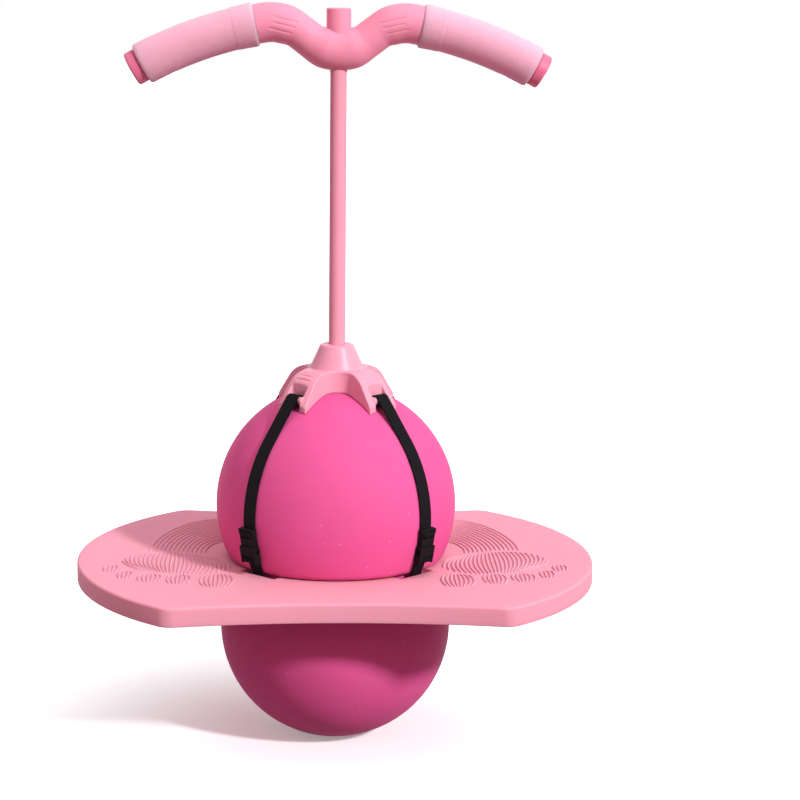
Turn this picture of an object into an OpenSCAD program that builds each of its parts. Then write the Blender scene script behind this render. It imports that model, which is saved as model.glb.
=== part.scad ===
// Pogo-style hopper ball: a ball squeezed through the hole of a footboard, with a saddle strapped over
// its crown that carries a pole and a gull-wing handlebar. Millimetres, +Z up, front towards -Y.
// The origin is the middle of the ball's flat contact patch on the ground.

/* [Overall] */
// Height from the ground to the top of the handlebar's shoulders
height = 717; // [660:1:780]
// Gap between pieces that move against each other
gap = 0.3; // [0.2:0.05:0.5]
// Radial clearance of pieces that slide in one another
fit = 0.05; // [0.02:0.01:0.1]

/* [Ball] */
// Radius of the ball's upper lobe
ball_r = 117.2; // [112:0.2:124]
// Radius of the ball's lower lobe
lower_r = 113; // [109:0.1:121]
// Thickness of the ball's wall
ball_wall = 2.2; // [1.5:0.1:3]
// Radius of the flat patch that the ball stands on
contact_r = 22; // [14:0.5:30]
// Height of the deck's underside above the lower lobe's centre
lower_seat = 49.2; // [46:0.1:54]
// Height of the upper lobe's centre above the deck's top
upper_seat = 53.5; // [48:0.2:58]
// How far the deck's hole squeezes the ball in
ball_pinch = 5.9; // [4.5:0.1:7]

/* [Valve] */
// Radius of the valve seat's barrel
valve_r = 7; // [5:0.5:9]
// Length of the valve seat's barrel
valve_l = 9; // [6:0.5:12]
// Width of the valve seat's flange beyond its barrel
valve_flange_w = 2.5; // [1.5:0.5:4]
// Thickness of the valve seat's flange
valve_flange_t = 1.2; // [0.8:0.1:2]
// Radius of the plug's shank
plug_r = 3; // [2:0.1:4]
// Radius of the plug's head
plug_head_r = 5.5; // [4.5:0.1:7]
// Thickness of the plug's head
plug_head_t = 2; // [1.2:0.1:3]

/* [Deck] */
// Radius of the deck's round ends
deck_r = 253; // [235:1:270]
// Depth of the deck from its middle to the middle of its front or back edge
deck_half_depth = 181.5; // [170:0.5:190]
// Radius of the hollow curve of the front and back edges
deck_edge_r = 800; // [600:10:1200]
// Radius of the deck's four corners
deck_corner_r = 18; // [12:1:26]
// Thickness of the deck over its edge
deck_t = 18.5; // [15:0.5:24]
// Thickness of the deck's top plate
deck_plate_t = 4.5; // [3:0.5:6]
// Thickness of the deck's outer wall
deck_skirt_t = 4; // [3:0.5:6]
// Thickness of the wall round the deck's hole
deck_collar_t = 4.5; // [3:0.5:6]
// Thickness of the ribs under the deck
deck_rib_t = 3.5; // [2:0.5:5]
// Number of radial ribs under the deck
deck_ribs = 12; // [12:12:24]
// Radius of the round rib under the deck
deck_ring_r = 175; // [150:1:200]
// Width of the notches that the deck loops pass through
notch_w = 46; // [36:1:50]
// Depth of the notches from the edge of the hole
notch_d = 9.5; // [8.5:0.5:12]

/* [Foot treads] */
// Length of a foot tread from toe to heel
foot_l = 280; // [240:1:300]
// Distance of a foot tread's middle from the deck's middle
foot_x = 155; // [150:1:160]
// Distance between the ridges of a foot tread
ridge_pitch = 7; // [5:0.5:10]
// Width of a ridge
ridge_w = 3; // [2:0.2:4]
// Height of a ridge
ridge_h = 1; // [0.6:0.1:1.6]

/* [Crown saddle] */
// Thickness of the saddle over the ball's crown
saddle_t = 17.8; // [16:0.2:22]
// Reach of the saddle's arms from the middle
saddle_reach = 62; // [61.5:0.5:66]
// Width of an arm at its tip
arm_tip_w = 36.6; // [34:0.2:42]
// Angle by which each side of an arm spreads towards its tip
arm_flare = 8.2; // [5:0.2:10]
// Radius of the arches between the arms
arch_r = 18; // [15:0.5:20]
// Radius of the saddle's round shoulder, seen from the side
dome_r = 26; // [24:0.5:28]
// Distance of the shoulder's centre from the middle
dome_offset = 30; // [28:0.5:32]
// Slope of the arms below the round shoulder
dome_slope = 56; // [52:1:60]
// Width of the window in each arm
window_w = 20; // [18:0.5:22]
// Length of the window from its inner wall to the strap bar's axis
window_l = 6.6; // [6.4:0.1:8]
// Radius of the strap bar across each window
strap_bar_r = 4; // [3.5:0.1:4.5]
// Angle of the strap bar from the ball's crown
strap_bar_polar = 27.5; // [26.5:0.5:28.5]
// Radius of the pole socket at its rim
socket_top_r = 17.2; // [16:0.2:22]
// Radius of the pole socket at its foot
socket_foot_r = 26.5; // [25.5:0.5:32]
// Height of the pole socket above the saddle's crown
socket_h = 23; // [18:0.5:28]
// Radius of the rounded rim of the pole socket
socket_rim_r = 3.5; // [1:0.5:4]
// Thickness of the socket's floor over the ball
socket_floor_t = 6; // [4:0.5:8]
// Width of a groove on an arm
groove_w = 1.6; // [1:0.1:2.4]
// Depth of a groove on an arm
groove_d = 1.2; // [0.6:0.1:2]
// Distance between the grooves on an arm
groove_pitch = 4.4; // [3.5:0.1:5]

/* [Straps] */
// Width of the webbing
web_w = 15; // [12:0.5:16]
// Thickness of the webbing
web_t = 1.5; // [1:0.1:2]

/* [Buckles] */
// Angle from the crown at which the two halves of a buckle meet
buckle_polar = 101; // [99:0.5:103]
// Length of the latch outside the socket
latch_l = 17; // [15:0.5:19]
// Width of the latch's neck
latch_w = 17.4; // [17:0.2:20]
// Width of the latch across its ears
latch_ear_w = 18.8; // [18.4:0.2:22]
// Length of the latch's ears
latch_ear_l = 5; // [4:0.5:6]
// Length of the buckle socket
buckle_l = 17.5; // [16.5:0.5:20]
// Width of the buckle socket
buckle_w = 19.6; // [19:0.2:23]
// Thickness of the buckle
buckle_t = 7; // [6.4:0.1:8]
// Wall of the buckle socket
buckle_wall = 1.5; // [1.2:0.1:1.8]
// Radius of the web bars of the buckle
web_bar_r = 1.9; // [1.5:0.1:2.2]
// Length of the latch's prongs inside the socket
prong_l = 9; // [7:0.5:9.5]
// Width of a prong
prong_w = 3.4; // [2.5:0.1:4]

/* [Deck anchors] */
// Radius of an anchor pin
pin_r = 2.5; // [2:0.1:3]
// Length of an anchor pin
pin_l = 64; // [62:1:68]
// Distance of an anchor pin from the edge of the hole
pin_offset = 8; // [7.5:0.1:9]
// Depth of an anchor pin's axis below the deck's top
pin_depth = 10.5; // [10:0.1:12]

/* [Pole] */
// Outer radius of the pole
pole_r = 8; // [7:0.1:9]
// Wall of the pole
pole_wall = 1.4; // [1:0.1:2]
// Radius of the socket screw's shank
screw_r = 2.5; // [2:0.1:3]
// Radius of the socket screw's head
screw_head_r = 4.6; // [4:0.1:5.5]
// Thickness of the socket screw's head
screw_head_t = 3; // [2:0.1:4]
// Height of the socket screw above the saddle's crown
screw_h = 7; // [5:0.5:9]

/* [Handlebar] */
// Radius of the handlebar's middle
bar_r = 18.5; // [16:0.2:20]
// How much thinner the handlebar is between its bends, and thicker in its dip
bar_step = 0.8; // [0.4:0.1:2]
// Radius of the dip at the handlebar's middle, along its axis
dip_bend_r = 45; // [40:1:52]
// Radius of the shoulders, along their axis
shoulder_bend_r = 45; // [40:1:52]
// Slope of the handlebar between the dip and a shoulder
dip_angle = 37; // [32:0.5:42]
// Length of the straight slope between the dip and a shoulder
slope_l = 12; // [8:0.5:18]
// Slope of the arms where they leave the shoulders
arm_start_angle = 10; // [7:0.5:13]
// Slope of the arms at their ends
arm_end_angle = 28.5; // [25:0.5:32]
// Slope at which the grips begin
grip_start_angle = 11; // [10.5:0.1:12]
// Radius of the arms' gentle bend, along their axis
arm_bend_r = 380; // [340:5:420]
// Radius of the core inside a grip
core_r = 13.5; // [12:0.1:15]
// Radius of the bore in the core
core_bore_r = 10.5; // [9:0.1:11.5]
// Radius of the sleeve over the pole
sleeve_r = 11.7; // [10.8:0.1:14]
// How far the sleeve's top lies below the shoulders' tops
sleeve_drop = 5; // [3:0.5:8]
// Thickness of the sleeve's closed top
sleeve_top_t = 3.5; // [2:0.5:5]
// Width of a slit on the shoulders
slit_w = 1.6; // [1:0.1:2.4]
// Length of a slit on the shoulders
slit_l = 23; // [18:0.5:26]
// Depth of a slit on the shoulders
slit_d = 1.5; // [0.8:0.1:2]
// Distance between the slits
slit_pitch = 4.9; // [4:0.1:6]
// Tilt of the slits
slit_tilt = 13; // [8:1:18]

/* [Grips and end caps] */
// Outer radius of a grip
grip_r = 20; // [18.5:0.1:22]
// Radius of an end cap
cap_r = 16.6; // [15.5:0.1:18]
// Length of an end cap beyond its grip
cap_l = 10.5; // [8:0.5:14]
// Rounding of an end cap's edge
cap_round = 2; // [1:0.5:4]
// Length of an end cap's stem
stem_l = 20; // [12:1:26]

/* [Snap button] */
// Radius of the snap button
button_r = 3; // [2.5:0.1:3.2]
// How far the snap button stands out of the sleeve
button_out = 1.6; // [1:0.1:2.5]
// Radius of the snap button's flange inside the pole
button_flange_r = 3.9; // [3.6:0.1:4.2]
// Thickness of the snap button's flange
button_flange_t = 1.6; // [1:0.1:2]
// How far the flange's face lies behind the pole's bore
button_inset = 1.6; // [1.5:0.1:2]
// Depth of the snap button's axis below the sleeve's top
button_depth = 12; // [10:0.5:13]
// Thickness of the spring's strip
spring_t = 0.8; // [0.5:0.1:1]
// Width of the spring's strip
spring_w = 6; // [4:0.5:7]
// Length of the spring
spring_l = 34; // [26:1:40]

/* [Hidden] */
$fn = 96;
// Overrun of cuts, and overlap of pieces that are joined
over = 1;
// Overlap of curves that run into each other, and its share of the overrun
blend_share = 0.02;
blend = blend_share * over;
// Azimuths of the four straps, seen from above, from +X towards +Y
front_left_azimuth = 225;
front_right_azimuth = 315;
rear_left_azimuth = 135;
rear_right_azimuth = 45;
strap_azimuths = [front_left_azimuth, front_right_azimuth, rear_left_azimuth, rear_right_azimuth];
valve_azimuth = 90;

// Heights of the ball's lobes and the deck
lower_lobe_z = sqrt(pow(lower_r, 2) - pow(contact_r, 2));
deck_bottom_z = lower_lobe_z + lower_seat;
deck_top_z = deck_bottom_z + deck_t;
upper_lobe_z = deck_top_z + upper_seat;
// The hole is narrower than the ball would be at the deck's top, so the ball rolls over its edges
hole_r = sqrt(pow(ball_r, 2) - pow(upper_seat, 2)) - ball_pinch;
neck_r = hole_r - gap;
// Radius of the fold that runs tangent from a lobe to the deck, for a lobe centre this far from the deck
function fold_r(lobe_r, rise) =
    (pow(lobe_r, 2) - pow(hole_r, 2) - pow(rise, 2)) / (2 * (lobe_r - rise));
lower_rise = lower_seat - gap;
upper_rise = upper_seat - gap;

// Outline of the deck: two large circles hollow its front and back, and a fillet rounds each corner
edge_centre = deck_half_depth + deck_edge_r;
fillet_reach = deck_r - deck_corner_r;
fillet_y = (pow(fillet_reach, 2) - pow(deck_edge_r + deck_corner_r, 2) + pow(edge_centre, 2))
    / (2 * edge_centre);
fillet_x = sqrt(pow(fillet_reach, 2) - pow(fillet_y, 2));
notch_r = hole_r + notch_d;
anchor_r = hole_r + pin_offset;
anchor_z = deck_top_z - pin_depth;

// Foot treads: middles of the toes, the ball of the foot and the heel, as shares of the foot's length,
// from the tread's middle towards the deck's middle and towards the back, with radii in the same shares;
// a toe is drawn out towards the heel by a share of its own radius
toe_shares = [
    [0.145, -0.382, 0.061],
    [0.017, -0.355, 0.045],
    [-0.082, -0.336, 0.041],
    [-0.168, -0.289, 0.036],
    [-0.221, -0.204, 0.032]
];
sole_shares = [[-0.055, -0.092], [0.061, -0.136]];
toe_stretch_share = 0.8;
sole_r_share = 0.136;
heel_shares = [[0.118, 0.136], [0.16, 0.32]];
heel_r_share = 0.207;
arch_bare_r_share = 0.05;
tread_margin_share = 0.035;

// Crown saddle: heights are above the upper lobe's centre
seat_r = ball_r + gap;
saddle_top = ball_r + saddle_t;
arm_root_w = arm_tip_w - 2 * saddle_reach * tan(arm_flare);
arm_apex = arm_root_w / sqrt(2) / (1 - tan(arm_flare));
arch_centre = arm_apex + arch_r / sin(45 - arm_flare);
socket_top = saddle_top + socket_h;
pole_foot = seat_r + socket_floor_t;
pole_foot_z = upper_lobe_z + pole_foot;
screw_z = upper_lobe_z + saddle_top + screw_h;
socket_slope = (socket_foot_r - socket_top_r) / socket_h;
screw_wall_r = socket_foot_r - screw_h * socket_slope;
screw_seat_r = (screw_wall_r + pole_r) / 2;

// Straps: each eye of webbing goes round a bar with a fit, and the run between is tangent to both
eye_bore_r = strap_bar_r + gap;
eye_r = eye_bore_r + web_t;
web_in_r = seat_r;
web_out_r = web_in_r + web_t;
strap_bar_d = seat_r + gap + eye_r;
strap_bar_s = strap_bar_d * sin(strap_bar_polar);
strap_bar_h = strap_bar_d * cos(strap_bar_polar);
strap_touch_polar = strap_bar_polar + acos((web_out_r - eye_r) / strap_bar_d);
window_start = strap_bar_s - window_l;

// Buckles: heights are above the plane that touches the ball where the two halves meet
small_eye_bore_r = web_bar_r + gap;
small_eye_r = small_eye_bore_r + web_t;
latch_eye_d = seat_r + small_eye_r + blend;
ear_bar_polar = asin((latch_l - latch_ear_l) / latch_eye_d);
latch_bar_x = latch_eye_d * sin(ear_bar_polar);
latch_bar_z = latch_eye_d * cos(ear_bar_polar) - seat_r;
strap_end_polar = buckle_polar - ear_bar_polar;
socket_bar_x = buckle_l - buckle_wall - small_eye_bore_r;
socket_bar_z = buckle_t / 2;
web_slot_w = web_w + 2 * gap;

// Deck loops: places in the meridian plane, outwards and above the upper lobe's centre
loop_top_s = (seat_r + socket_bar_z) * sin(buckle_polar) + socket_bar_x * cos(buckle_polar);
loop_top_h = (seat_r + socket_bar_z) * cos(buckle_polar) - socket_bar_x * sin(buckle_polar);
loop_end_s = anchor_r;
loop_end_h = anchor_z - upper_lobe_z;
loop_end_r = pin_r + gap + web_t;

// Handlebar: places along its axis in the XZ plane, heights above the axis at the dip
slope_start = [dip_bend_r * sin(dip_angle), dip_bend_r * (1 - cos(dip_angle))];
slope_end = slope_start + slope_l * [cos(dip_angle), sin(dip_angle)];
shoulder_centre = slope_end + shoulder_bend_r * [sin(dip_angle), -cos(dip_angle)];
arm_start = shoulder_centre + shoulder_bend_r * [sin(arm_start_angle), cos(arm_start_angle)];
arm_centre = arm_start - arm_bend_r * [sin(arm_start_angle), cos(arm_start_angle)];
arm_end = arm_centre + arm_bend_r * [sin(arm_end_angle), cos(arm_end_angle)];
dip_z = height - bar_r - shoulder_centre[1] - shoulder_bend_r;
sleeve_top_z = height - sleeve_drop;
pole_top_z = sleeve_top_z - sleeve_top_t;
button_z = sleeve_top_z - button_depth;
pole_bore_r = pole_r - pole_wall;
button_face = pole_bore_r - button_inset;
slit_rows = [-1, 0, 1];

// Puts a shape on the ball: its Z points out of the ball, its X runs down from the crown
module on_ball(azimuth, polar) {
    translate([0, 0, upper_lobe_z])
        rotate([0, 0, azimuth])
            rotate([0, polar, 0])
                translate([0, 0, seat_r])
                    children();
}

// Carries a flat outline, drawn outwards and upwards from the upper lobe's centre, to a width across
module across_meridian(azimuth, width) {
    translate([0, 0, upper_lobe_z])
        rotate([0, 0, azimuth])
            rotate([90, 0, 0])
                linear_extrude(width, center = true)
                    children();
}

// Flat ring
module ring(outer, inner) {
    difference() {
        circle(outer);
        circle(inner);
    }
}

// Flat wedge between two angles from the upright, reaching past a radius
module wedge(from, to, reach) {
    far = 2 * reach;
    mid = (from + to) / 2;
    polygon([
        [0, 0],
        far * [sin(from), cos(from)],
        far * [sin(mid), cos(mid)],
        far * [sin(to), cos(to)]
    ]);
}

// Half outline of one lobe and its fold, drawn with the deck above the lobe's centre
module lobe_outline(lobe_r, rise, grow) {
    fold = fold_r(lobe_r, rise);
    turn = atan2(hole_r, rise - fold);
    difference() {
        intersection() {
            circle(lobe_r + grow);
            translate([0, -2 * lobe_r])
                square([2 * lobe_r, 4 * lobe_r]);
        }
        wedge(-turn, turn, lobe_r);
    }
    translate([hole_r, rise - fold])
        circle(fold + grow + blend);
}

// Half outline of the whole ball, grown or shrunk evenly
module ball_outline(grow) {
    translate([0, lower_lobe_z])
        lobe_outline(lower_r, lower_rise, grow);
    translate([0, upper_lobe_z])
        mirror([0, 1])
            lobe_outline(ball_r, upper_rise, grow);
    translate([0, lower_lobe_z])
        square([neck_r + grow, upper_lobe_z - lower_lobe_z]);
}

module ball_shell() {
    color("#F0589B")
        difference() {
            rotate_extrude()
                difference() {
                    ball_outline(0);
                    difference() {
                        ball_outline(-ball_wall);
                        square([ball_r, ball_wall]);
                    }
                    translate([0, -ball_r])
                        square(ball_r);
                }
            on_ball(valve_azimuth, 90)
                cylinder(r = valve_r + gap, h = 2 * ball_r / 3, center = true);
        }
}

module valve_seat() {
    color("#E04A8C")
        on_ball(valve_azimuth, 90)
            difference() {
                union() {
                    translate([0, 0, valve_flange_t - valve_l])
                        cylinder(r = valve_r, h = valve_l);
                    cylinder(r = valve_r + valve_flange_w, h = valve_flange_t);
                }
                translate([0, 0, -valve_l - over])
                    cylinder(r = plug_r + fit, h = 2 * valve_l);
            }
}

module valve_plug() {
    color("#D8407F")
        on_ball(valve_azimuth, 90) {
            translate([0, 0, valve_flange_t - valve_l + gap])
                cylinder(r = plug_r, h = valve_l + plug_head_t - gap);
            translate([0, 0, valve_flange_t + fit])
                cylinder(r = plug_head_r, h = plug_head_t - fit);
        }
}

// Outline of the deck, moved inwards evenly by a wall
module deck_outline(wall) {
    difference() {
        circle(deck_r - wall);
        for (side = [-1, 1])
            translate([0, side * edge_centre])
                circle(deck_edge_r + wall);
        for (x = [-1, 1], y = [-1, 1])
            sharp_corner(x, y);
    }
    for (x = [-1, 1], y = [-1, 1])
        translate([x * fillet_x, y * fillet_y])
            circle(deck_corner_r - wall);
}

// Sharp corner of the deck beyond its fillet, between the two radii that end the fillet
module sharp_corner(x, y) {
    outward = [fillet_x, fillet_y] / fillet_reach;
    to_edge = [-fillet_x, edge_centre - fillet_y] / (deck_edge_r + deck_corner_r);
    between = outward + to_edge;
    mirror([(1 - x) / 2, 0])
        mirror([0, (1 - y) / 2])
            translate([fillet_x, fillet_y])
                polygon(2 * deck_corner_r * [[0, 0], outward, between, to_edge]);
}

module deck_board() {
    color("#F7A9BD")
        difference() {
            union() {
                translate([0, 0, deck_top_z - deck_plate_t])
                    linear_extrude(deck_plate_t)
                        deck_outline(0);
                translate([0, 0, deck_bottom_z])
                    linear_extrude(deck_t - deck_plate_t)
                        deck_walls();
            }
            translate([0, 0, deck_bottom_z - over])
                cylinder(r = hole_r, h = deck_t + 2 * over);
            for (azimuth = strap_azimuths)
                rotate([0, 0, azimuth]) {
                    translate([0, -notch_w / 2, deck_bottom_z - over])
                        cube([notch_r, notch_w, deck_t + 2 * over]);
                    translate([anchor_r, 0, anchor_z])
                        rotate([90, 0, 0])
                            cylinder(r = pin_r + fit, h = pin_l + 2 * gap, center = true);
                }
        }
}

// Outer wall, wall round the hole, ring and ribs under the deck's plate
module deck_walls() {
    difference() {
        deck_outline(0);
        deck_outline(deck_skirt_t);
    }
    intersection() {
        deck_outline(deck_skirt_t / 2);
        union() {
            circle(hole_r + deck_collar_t);
            ring(deck_ring_r + deck_rib_t / 2, deck_ring_r - deck_rib_t / 2);
            for (i = [0 : deck_ribs - 1])
                rotate(i * 360 / deck_ribs)
                    translate([0, -deck_rib_t / 2])
                        square([deck_r, deck_rib_t]);
        }
    }
}

// Flat bar with round ends between two points
module round_bar(ends, r) {
    run = ends[1] - ends[0];
    translate(ends[0])
        rotate(atan2(run[1], run[0])) {
            circle(r);
            translate([norm(run), 0])
                circle(r);
            translate([0, -r])
                square([norm(run), 2 * r]);
        }
}

// Nested ridges that follow a round bar's edge, from its outer radius down to a bare middle
module ridges(ends, outer, bare) {
    for (r = [outer : -ridge_pitch : bare + ridge_w])
        difference() {
            round_bar(ends, r);
            round_bar(ends, r - ridge_w);
        }
}

// One foot tread: toes, ball of the foot and heel, for the foot on the -X side
module foot_tread() {
    sole = [for (p = sole_shares) p * foot_l];
    heel = [for (p = heel_shares) p * foot_l];
    sole_r = sole_r_share * foot_l;
    margin = tread_margin_share * foot_l;
    translate([0, 0, deck_top_z])
        linear_extrude(ridge_h)
            difference() {
                translate([-foot_x, 0]) {
                    for (toe = toe_shares * foot_l)
                        translate([toe[0], toe[1]])
                            ridges([[0, 0], [0, toe_stretch_share * toe[2]]], toe[2], 0);
                    ridges(sole, sole_r, 0);
                    difference() {
                        ridges(heel, heel_r_share * foot_l, arch_bare_r_share * foot_l);
                        round_bar(sole, sole_r + ridge_w);
                    }
                }
                circle(hole_r + margin);
            }
}

module left_foot_tread() {
    color("#F4A2B7") foot_tread();
}

module right_foot_tread() {
    color("#F4A2B7") mirror([1, 0, 0]) foot_tread();
}

// Plan of the saddle: four arms that spread towards their tips, left between four round arches
module saddle_plan() {
    difference() {
        intersection_for (azimuth = [front_left_azimuth, front_right_azimuth])
            rotate(azimuth)
                square(2 * saddle_reach, center = true);
        for (side = [0 : 90 : 270])
            rotate(side)
                arch();
    }
}

// One arch between two arms: a circle that opens outwards along the sides of the arms
module arch() {
    lean = 45 - arm_flare;
    foot = arch_centre - (arch_r - blend) * sin(lean);
    half = (arch_r - blend) * cos(lean);
    far = 2 * saddle_reach;
    translate([arch_centre, 0])
        circle(arch_r);
    polygon([
        [foot, -half],
        [far, -half - (far - foot) * tan(lean)],
        [far, half + (far - foot) * tan(lean)],
        [foot, half]
    ]);
}

// Half outline of the pole socket with its rounded rim
module socket_outline() {
    rim = [socket_top_r - socket_rim_r, socket_top - socket_rim_r];
    lean = atan(socket_slope);
    translate(rim)
        circle(socket_rim_r);
    polygon([
        [0, seat_r],
        [socket_foot_r, seat_r],
        [socket_foot_r, saddle_top],
        rim + socket_rim_r * [cos(lean), sin(lean)],
        rim,
        [rim[0], socket_top],
        [0, socket_top]
    ]);
}

// Half outline of the saddle's shoulder: a round edge, then a straight slope
module dome_outline() {
    centre = [dome_offset, saddle_top - dome_r];
    edge = centre + (dome_r - blend) * [sin(dome_slope), cos(dome_slope)];
    translate(centre)
        circle(dome_r);
    polygon([
        [0, 0],
        [edge[0] + edge[1] / tan(dome_slope), 0],
        edge,
        centre,
        [0, centre[1]]
    ]);
}

// Saddle without its windows: a round shoulder cut to the plan, and the pole socket on its crown
module saddle_body() {
    intersection() {
        rotate_extrude()
            dome_outline();
        linear_extrude(saddle_top + over)
            saddle_plan();
    }
    rotate_extrude()
        socket_outline();
}

// Cuts in one arm of the saddle: the window past the strap bar and the short grooves above it
module arm_cuts() {
    translate([window_start, -window_w / 2, 0])
        cube([saddle_reach, window_w, saddle_top + over]);
    for (i = [1 : 3])
        translate([window_start - i * groove_pitch, -window_w / 2, groove_floor(i)])
            cube([groove_w, window_w, saddle_top]);
}

// Height of a groove's floor under the round shoulder at the groove's outer edge
function groove_floor(i) =
    let (run = window_start - i * groove_pitch + groove_w - dome_offset)
    saddle_top - dome_r + sqrt(pow(dome_r, 2) - pow(run, 2)) - groove_d;

module crown_saddle() {
    color("#F9AEC1")
        difference() {
            translate([0, 0, upper_lobe_z])
                union() {
                    difference() {
                        saddle_body();
                        for (azimuth = strap_azimuths)
                            rotate([0, 0, azimuth])
                                arm_cuts();
                    }
                    for (azimuth = strap_azimuths)
                        rotate([0, 0, azimuth])
                            strap_bar();
                }
            translate([0, 0, upper_lobe_z])
                sphere(seat_r);
            translate([0, 0, pole_foot_z])
                cylinder(r = pole_r + fit, h = socket_top);
            translate([0, 0, screw_z])
                rotate([-90, 0, 0]) {
                    cylinder(r = screw_r + fit, h = 2 * socket_foot_r);
                    translate([0, 0, screw_seat_r])
                        cylinder(r = screw_head_r + gap, h = 2 * socket_foot_r);
                }
        }
}

// Strap bar across one arm's window
module strap_bar() {
    translate([strap_bar_s, 0, strap_bar_h])
        rotate([90, 0, 0])
            cylinder(r = strap_bar_r, h = window_w + 2 * over, center = true);
}

// Upper strap: an eye round the saddle's strap bar, a straight run, then the ball's curve to the latch
module upper_strap(azimuth) {
    touch = [sin(strap_touch_polar), cos(strap_touch_polar)];
    bar = [strap_bar_s, strap_bar_h];
    along = [cos(strap_touch_polar), -sin(strap_touch_polar)];
    latch_eye = latch_eye_d * [sin(strap_end_polar), cos(strap_end_polar)];
    color("#1E2022")
        across_meridian(azimuth, web_w) {
            translate(bar)
                ring(eye_r, eye_bore_r);
            polygon([
                bar + (eye_r - blend) * touch,
                bar + (eye_bore_r + blend) * touch,
                (web_in_r + blend) * touch + over * along,
                (web_out_r - blend) * touch + over * along
            ]);
            intersection() {
                ring(web_out_r, web_in_r);
                wedge(strap_touch_polar, strap_end_polar, web_out_r);
            }
            translate(latch_eye)
                ring(small_eye_r, small_eye_bore_r);
        }
}

// Opening round a web bar, wide enough for the eye of a strap
module web_window(x) {
    translate([x - small_eye_r - gap, -web_slot_w / 2, -buckle_t])
        cube([2 * (small_eye_r + gap), web_slot_w, 3 * buckle_t]);
}

module web_bar(x, z) {
    translate([x, 0, z])
        rotate([90, 0, 0])
            cylinder(r = web_bar_r, h = web_slot_w + 2 * gap, center = true);
}

// Latch: ears and neck with a web bar, two springy prongs and a guide that enter the buckle
module latch(azimuth) {
    neck_t = buckle_t - buckle_wall;
    prong_t = buckle_t - 2 * (buckle_wall + gap);
    prong_y = buckle_w / 2 - buckle_wall - gap - prong_w;
    color("#1A1B1D")
        on_ball(azimuth, buckle_polar) {
            difference() {
                union() {
                    translate([-latch_l, -latch_ear_w / 2, 0])
                        cube([latch_ear_l, latch_ear_w, neck_t]);
                    translate([-latch_l, -latch_w / 2, 0])
                        cube([latch_l, latch_w, neck_t]);
                }
                web_window(-latch_bar_x);
                translate([-latch_l - over, -web_slot_w / 2, -over])
                    cube([over + latch_l - latch_bar_x, web_slot_w, over + web_t + gap]);
            }
            web_bar(-latch_bar_x, latch_bar_z);
            for (side = [-1, 1])
                translate([-gap, side < 0 ? -prong_y - prong_w : prong_y, buckle_wall + gap])
                    cube([prong_l + gap, prong_w, prong_t]);
            translate([-gap, -prong_w / 2, buckle_wall + gap])
                cube([prong_l + gap, prong_w, prong_t]);
        }
}

// Buckle: a flat socket for the latch's prongs with side windows, and a web bar for the deck loop
module buckle(azimuth) {
    room = prong_l + gap;
    color("#1A1B1D")
        on_ball(azimuth, buckle_polar) {
            difference() {
                translate([gap, -buckle_w / 2, 0])
                    cube([buckle_l - gap, buckle_w, buckle_t]);
                translate([0, buckle_wall - buckle_w / 2, buckle_wall])
                    cube([room, buckle_w - 2 * buckle_wall, buckle_t - 2 * buckle_wall]);
                translate([room / 3, -buckle_w, buckle_wall])
                    cube([room / 2, 2 * buckle_w, buckle_t - 2 * buckle_wall]);
                web_window(socket_bar_x);
            }
            web_bar(socket_bar_x, socket_bar_z);
        }
}

// Deck loop: a short web from an eye on the buckle, down through the notch, to an eye on the anchor pin
module deck_loop(azimuth) {
    top = [loop_top_s, loop_top_h];
    end = [loop_end_s, loop_end_h];
    run = end - top;
    turn = asin((loop_end_r - small_eye_r) / norm(run));
    heading = atan2(run[1], run[0]) - 90 - turn;
    side = [cos(heading), sin(heading)];
    color("#1E2022")
        across_meridian(azimuth, web_w)
            difference() {
                union() {
                    translate(top)
                        circle(small_eye_r);
                    translate(end)
                        circle(loop_end_r);
                    polygon([
                        top + small_eye_r * side,
                        end + loop_end_r * side,
                        end + (loop_end_r - web_t) * side,
                        top + (small_eye_r - web_t) * side
                    ]);
                }
                translate(top)
                    circle(small_eye_bore_r);
                translate(end)
                    circle(pin_r + gap);
            }
}

module anchor_pin(azimuth) {
    color("#B9BCC0")
        rotate([0, 0, azimuth])
            translate([anchor_r, 0, anchor_z])
                rotate([90, 0, 0])
                    cylinder(r = pin_r, h = pin_l, center = true);
}

module pole_tube() {
    color("#F4A0B5")
        difference() {
            translate([0, 0, pole_foot_z])
                cylinder(r = pole_r, h = pole_top_z - pole_foot_z);
            translate([0, 0, pole_foot_z - over])
                cylinder(r = pole_bore_r, h = height);
            translate([0, 0, screw_z])
                rotate([-90, 0, 0])
                    cylinder(r = screw_r + fit, h = 2 * pole_r);
            translate([0, 0, button_z])
                rotate([-90, 0, 0])
                    cylinder(r = button_r + fit, h = 2 * pole_r);
        }
}

module socket_screw() {
    color("#C9CCD0")
        translate([0, 0, screw_z])
            rotate([-90, 0, 0]) {
                translate([0, 0, pole_bore_r - pole_wall])
                    cylinder(r = screw_r, h = screw_seat_r + screw_head_t / 2 - pole_bore_r + pole_wall);
                translate([0, 0, screw_seat_r])
                    difference() {
                        cylinder(r = screw_head_r, h = screw_head_t);
                        translate([0, 0, screw_head_t / 2])
                            for (turn = [0, 90])
                                rotate(turn)
                                    translate([-screw_r, -screw_r / 4, 0])
                                        cube([2 * screw_r, screw_r / 2, screw_head_t]);
                    }
            }
}

module snap_button() {
    color("#D5D8DB")
        translate([0, 0, button_z])
            rotate([-90, 0, 0]) {
                translate([0, 0, button_face - button_flange_t])
                    cylinder(r = button_flange_r, h = button_flange_t);
                translate([0, 0, button_face - button_flange_t])
                    cylinder(r = button_r, h = sleeve_r + button_out - button_face + button_flange_t);
            }
}

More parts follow.
